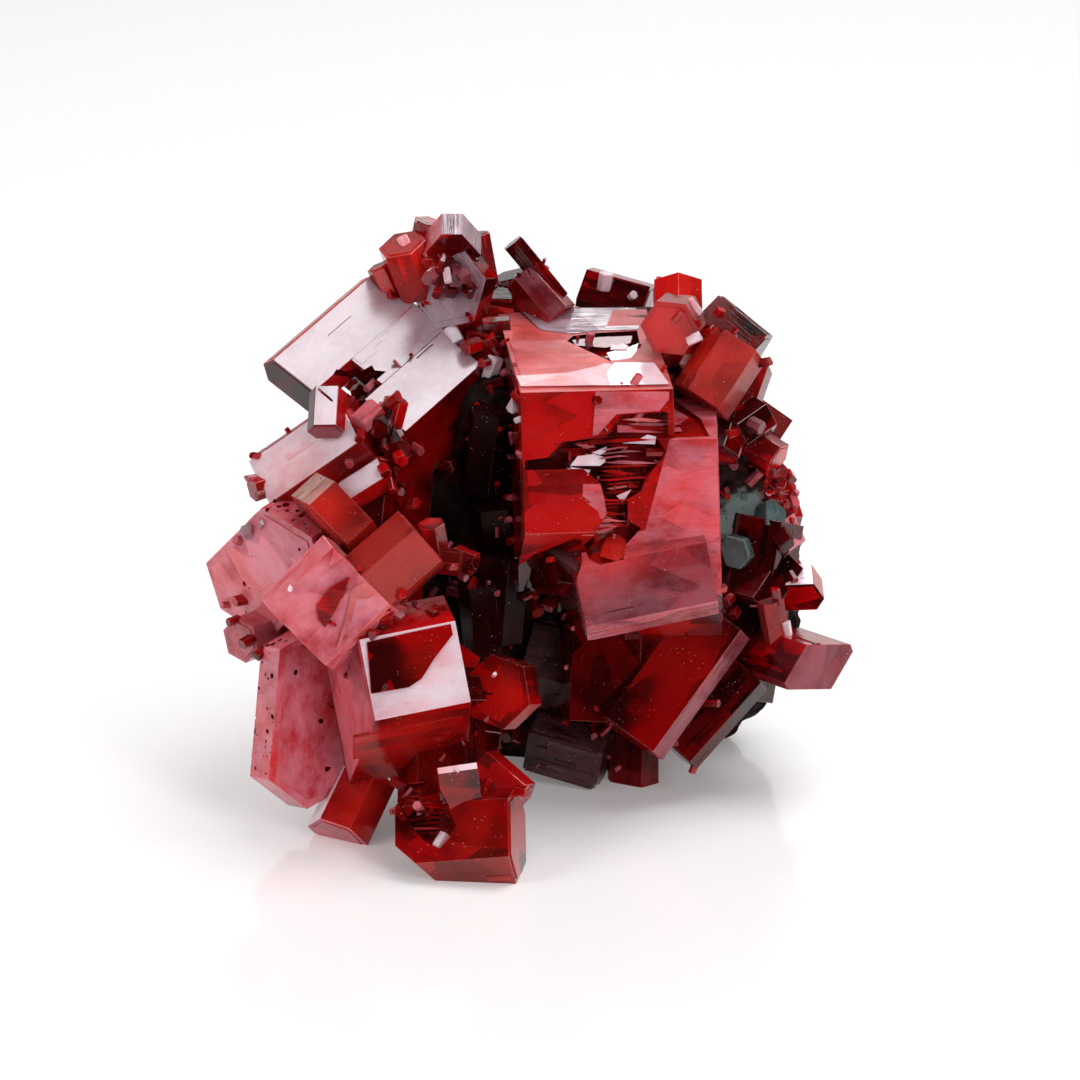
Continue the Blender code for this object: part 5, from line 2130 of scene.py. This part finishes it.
FINISHES = {
    DEEP: CrystalFinish(
        "deep_red", (0.07, 0.0001, 0.0004), (0.72, 0.0006, 0.002), (0.45, 0.04, 0.05), film=0.03, clear=0.45,
        zone_low=0.4, zone_high=0.62, facets=0.3, contrast=0.55, refraction=1.6,
    ),
    RED: CrystalFinish(
        "clear_red", (0.24, 0.0003, 0.0008), (0.82, 0.001, 0.003), (0.80, 0.14, 0.15), film=0.06, clear=0.3,
        zone_low=0.4, zone_high=0.6, facets=0.3, refraction=1.65,
    ),
    # Red under a pink film that is painted sheen.
    DUSTY: CrystalFinish(
        "pink_sheen_red", (0.34, 0.006, 0.008), (0.95, 0.11, 0.13), (0.78, 0.27, 0.35), film=0.58,
        zone_low=0.4, zone_high=0.6, facets=0.25, polish=0.16, dull=0.36, clear=0.2, refraction=1.7,
        contrast=0.4, lines=0.35,
    ),
    # Red lightened towards lavender-grey by painted sheen, under the lamps' own reflection.
    PALE: CrystalFinish(
        "pale_sheen_face", (0.26, 0.10, 0.14), (0.44, 0.28, 0.34), (0.58, 0.50, 0.55), film=0.4,
        polish=0.2, dull=0.36, clear=0.1, lines=0.15, contrast=0.1,
    ),
    GOLDEN: CrystalFinish(
        "golden_face", (0.50, 0.12, 0.08), (0.82, 0.45, 0.32), (0.86, 0.72, 0.62), film=0.4,
        polish=0.18, dull=0.36, clear=0.3, lines=0.9, contrast=0.1,
    ),
    BROWN: CrystalFinish(
        "brown_face", (0.26, 0.003, 0.003), (0.62, 0.025, 0.016), (0.50, 0.10, 0.08), film=0.15,
        facets=0.2, polish=0.24, dull=0.42, clear=0.3, refraction=1.5, contrast=0.3,
    ),
    BLOCK: CrystalFinish(
        "dark_block", (0.016, 0.001, 0.0014), (0.085, 0.012, 0.016), (0.18, 0.085, 0.095), film=0.35,
        glow=(0.15, 0.01, 0.01), polish=0.2, dull=0.5, clear=0.0, scatter=0.0, lines=0.8,
        edge=(0.2, 0.08, 0.08), refraction=1.4,
    ),
    MOSS: CrystalFinish(
        "green_grey_face", (0.012, 0.02, 0.02), (0.055, 0.09, 0.09), (0.16, 0.23, 0.23), film=0.5,
        glow=(0.1, 0.1, 0.09), polish=0.2, dull=0.45, clear=0.0, scatter=0.0, lines=0.4,
        edge=(0.2, 0.22, 0.2), refraction=1.4,
    ),
    STRIPED: CrystalFinish(
        "striped_face", (0.12, 0.03, 0.05), (0.50, 0.30, 0.38), (0.70, 0.56, 0.64), film=0.5,
        polish=0.16, dull=0.3, clear=0.1, lines=1.0, fineness=3.0, contrast=0.1,
    ),
    # Red under a lilac film that is partly painted sheen.
    LILAC: CrystalFinish(
        "lilac_face", (0.62, 0.014, 0.022), (1.0, 0.17, 0.19), (0.88, 0.38, 0.50), film=0.55,
        zone_low=0.42, zone_high=0.6, facets=0.25, polish=0.16, dull=0.34, clear=0.15, refraction=1.6,
        contrast=0.35, edge=(0.95, 0.2, 0.08), wear=0.5,
    ),
    PLUM: CrystalFinish(
        "plum_face", (0.14, 0.004, 0.008), (0.42, 0.04, 0.055), (0.42, 0.16, 0.20), film=0.5,
        facets=0.25, polish=0.18, dull=0.36, clear=0.25, refraction=1.5, contrast=0.3,
    ),
    SALMON: CrystalFinish(
        "salmon_top", (0.50, 0.025, 0.02), (0.95, 0.13, 0.10), (0.80, 0.30, 0.34), film=0.5,
        polish=0.4, dull=0.55, clear=0.1, lines=0.5, refraction=1.4, contrast=0.2,
    ),
    # Near-black, for crystals that sit in shade: painted shade.
    SHADE: CrystalFinish(
        "painted_shade_block", (0.006, 0.0002, 0.0003), (0.025, 0.001, 0.0012), (0.05, 0.012, 0.014), film=0.15,
        glow=(0.05, 0.001, 0.001), polish=0.2, dull=0.5, clear=0.0, scatter=0.0, lines=0.5,
        edge=(0.06, 0.02, 0.02), refraction=1.2,
    ),
    WINE: CrystalFinish(
        "wine_red", (0.020, 0.0001, 0.0002), (0.26, 0.0006, 0.001), (0.25, 0.02, 0.03), film=0.04,
        glow=(0.5, 0.01, 0.006), clear=0.5, facets=0.3, contrast=0.6, refraction=1.5,
    ),
    # Painted sheen: near-white faces that stand for a reflection of the lights.
    WHITE: CrystalFinish(
        "painted_sheen_face", (0.72, 0.44, 0.52), (0.90, 0.72, 0.80), (0.95, 0.88, 0.92), film=0.5,
        polish=0.16, dull=0.3, clear=0.05, lines=0.1, contrast=0.05,
    ),
}

STUDIO_LAMPS = (
    Softbox("overhead_box", (0.34, 0.91, 0.24), 0.5, 0.36, 0.36, 1.7),
    Softbox("left_box", (-0.78, 0.32, 0.54), 0.5, 0.2, 0.24, 0.8, False),
    Softbox("back_box", (0.06, 0.84, -0.54), 0.5, 0.12, 0.12, 0.3),
    Softbox("front_box", (0.557, 0.115, 0.843), 0.5, 0.1, 0.3, 0.9, False),
)


def sort_sprouts(sprouts: Sequence[Sprout], surfaces: Sequence[Surface]) -> list[list[Sprout]]:
    """Gives each sprout to the surface that the eye meets first.

    Args:
        sprouts: The small crystals placed one by one.
        surfaces: What they may stand on.

    Returns:
        One list of sprouts for each surface.
    """
    sorted_out: list[list[Sprout]] = [[] for _ in surfaces]
    for sprout in sprouts:
        seen = [surface.forward_at(sprout.across, sprout.up) for surface in surfaces]
        reach = [-math.inf if value is None else value for value in seen]
        if max(reach) > -math.inf:
            sorted_out[reach.index(max(reach))].append(sprout)
    return sorted_out


def main() -> None:
    """Builds the specimen and the studio round it, piece by piece."""
    logging.basicConfig(level=logging.INFO, format="%(message)s")
    groups = NodeGroups()
    materials = [FINISHES[tone].material(groups) for tone in Tone]
    left = Cluster("left_cluster", "left_crystals", LEFT_CRYSTALS, 11)
    right = Cluster("right_cluster", "right_crystals", RIGHT_CRYSTALS, 23)
    left.rough_out(materials, LEFT_HOLLOWS, LEFT_SHARDS + tuple(FOOT_SAW.shards()))
    blades = [shard for edge in SAW_EDGES for shard in edge.shards()]
    right.rough_out(materials, RIGHT_HOLLOWS, RIGHT_SHARDS + tuple(blades))
    left_sprouts, right_sprouts = sort_sprouts(SPROUTS, (left.surface, right.surface))
    left.complete(left_sprouts, CREVICE_SPOTS, ())
    right.complete(right_sprouts, CREVICE_SPOTS, LEFT_CRYSTALS)
    for number, prism in enumerate(BACK_CRYSTALS):
        single = Cluster(prism.name, prism.name + "_crystal", (prism,), BACK_SEED + number)
        single.rough_out(materials, (), ())
        single.complete((), 0, LEFT_CRYSTALS + RIGHT_CRYSTALS)
    facets = FacetMesh("socket", materials)
    everyone = LEFT_CRYSTALS + RIGHT_CRYSTALS + BACK_CRYSTALS
    rock = Rock().build(RockFinish().material(groups), everyone, facets)
    Druse().build(rock, FacetMesh("druse", materials))
    Studio().build()


if __name__ == "__main__":
    main()
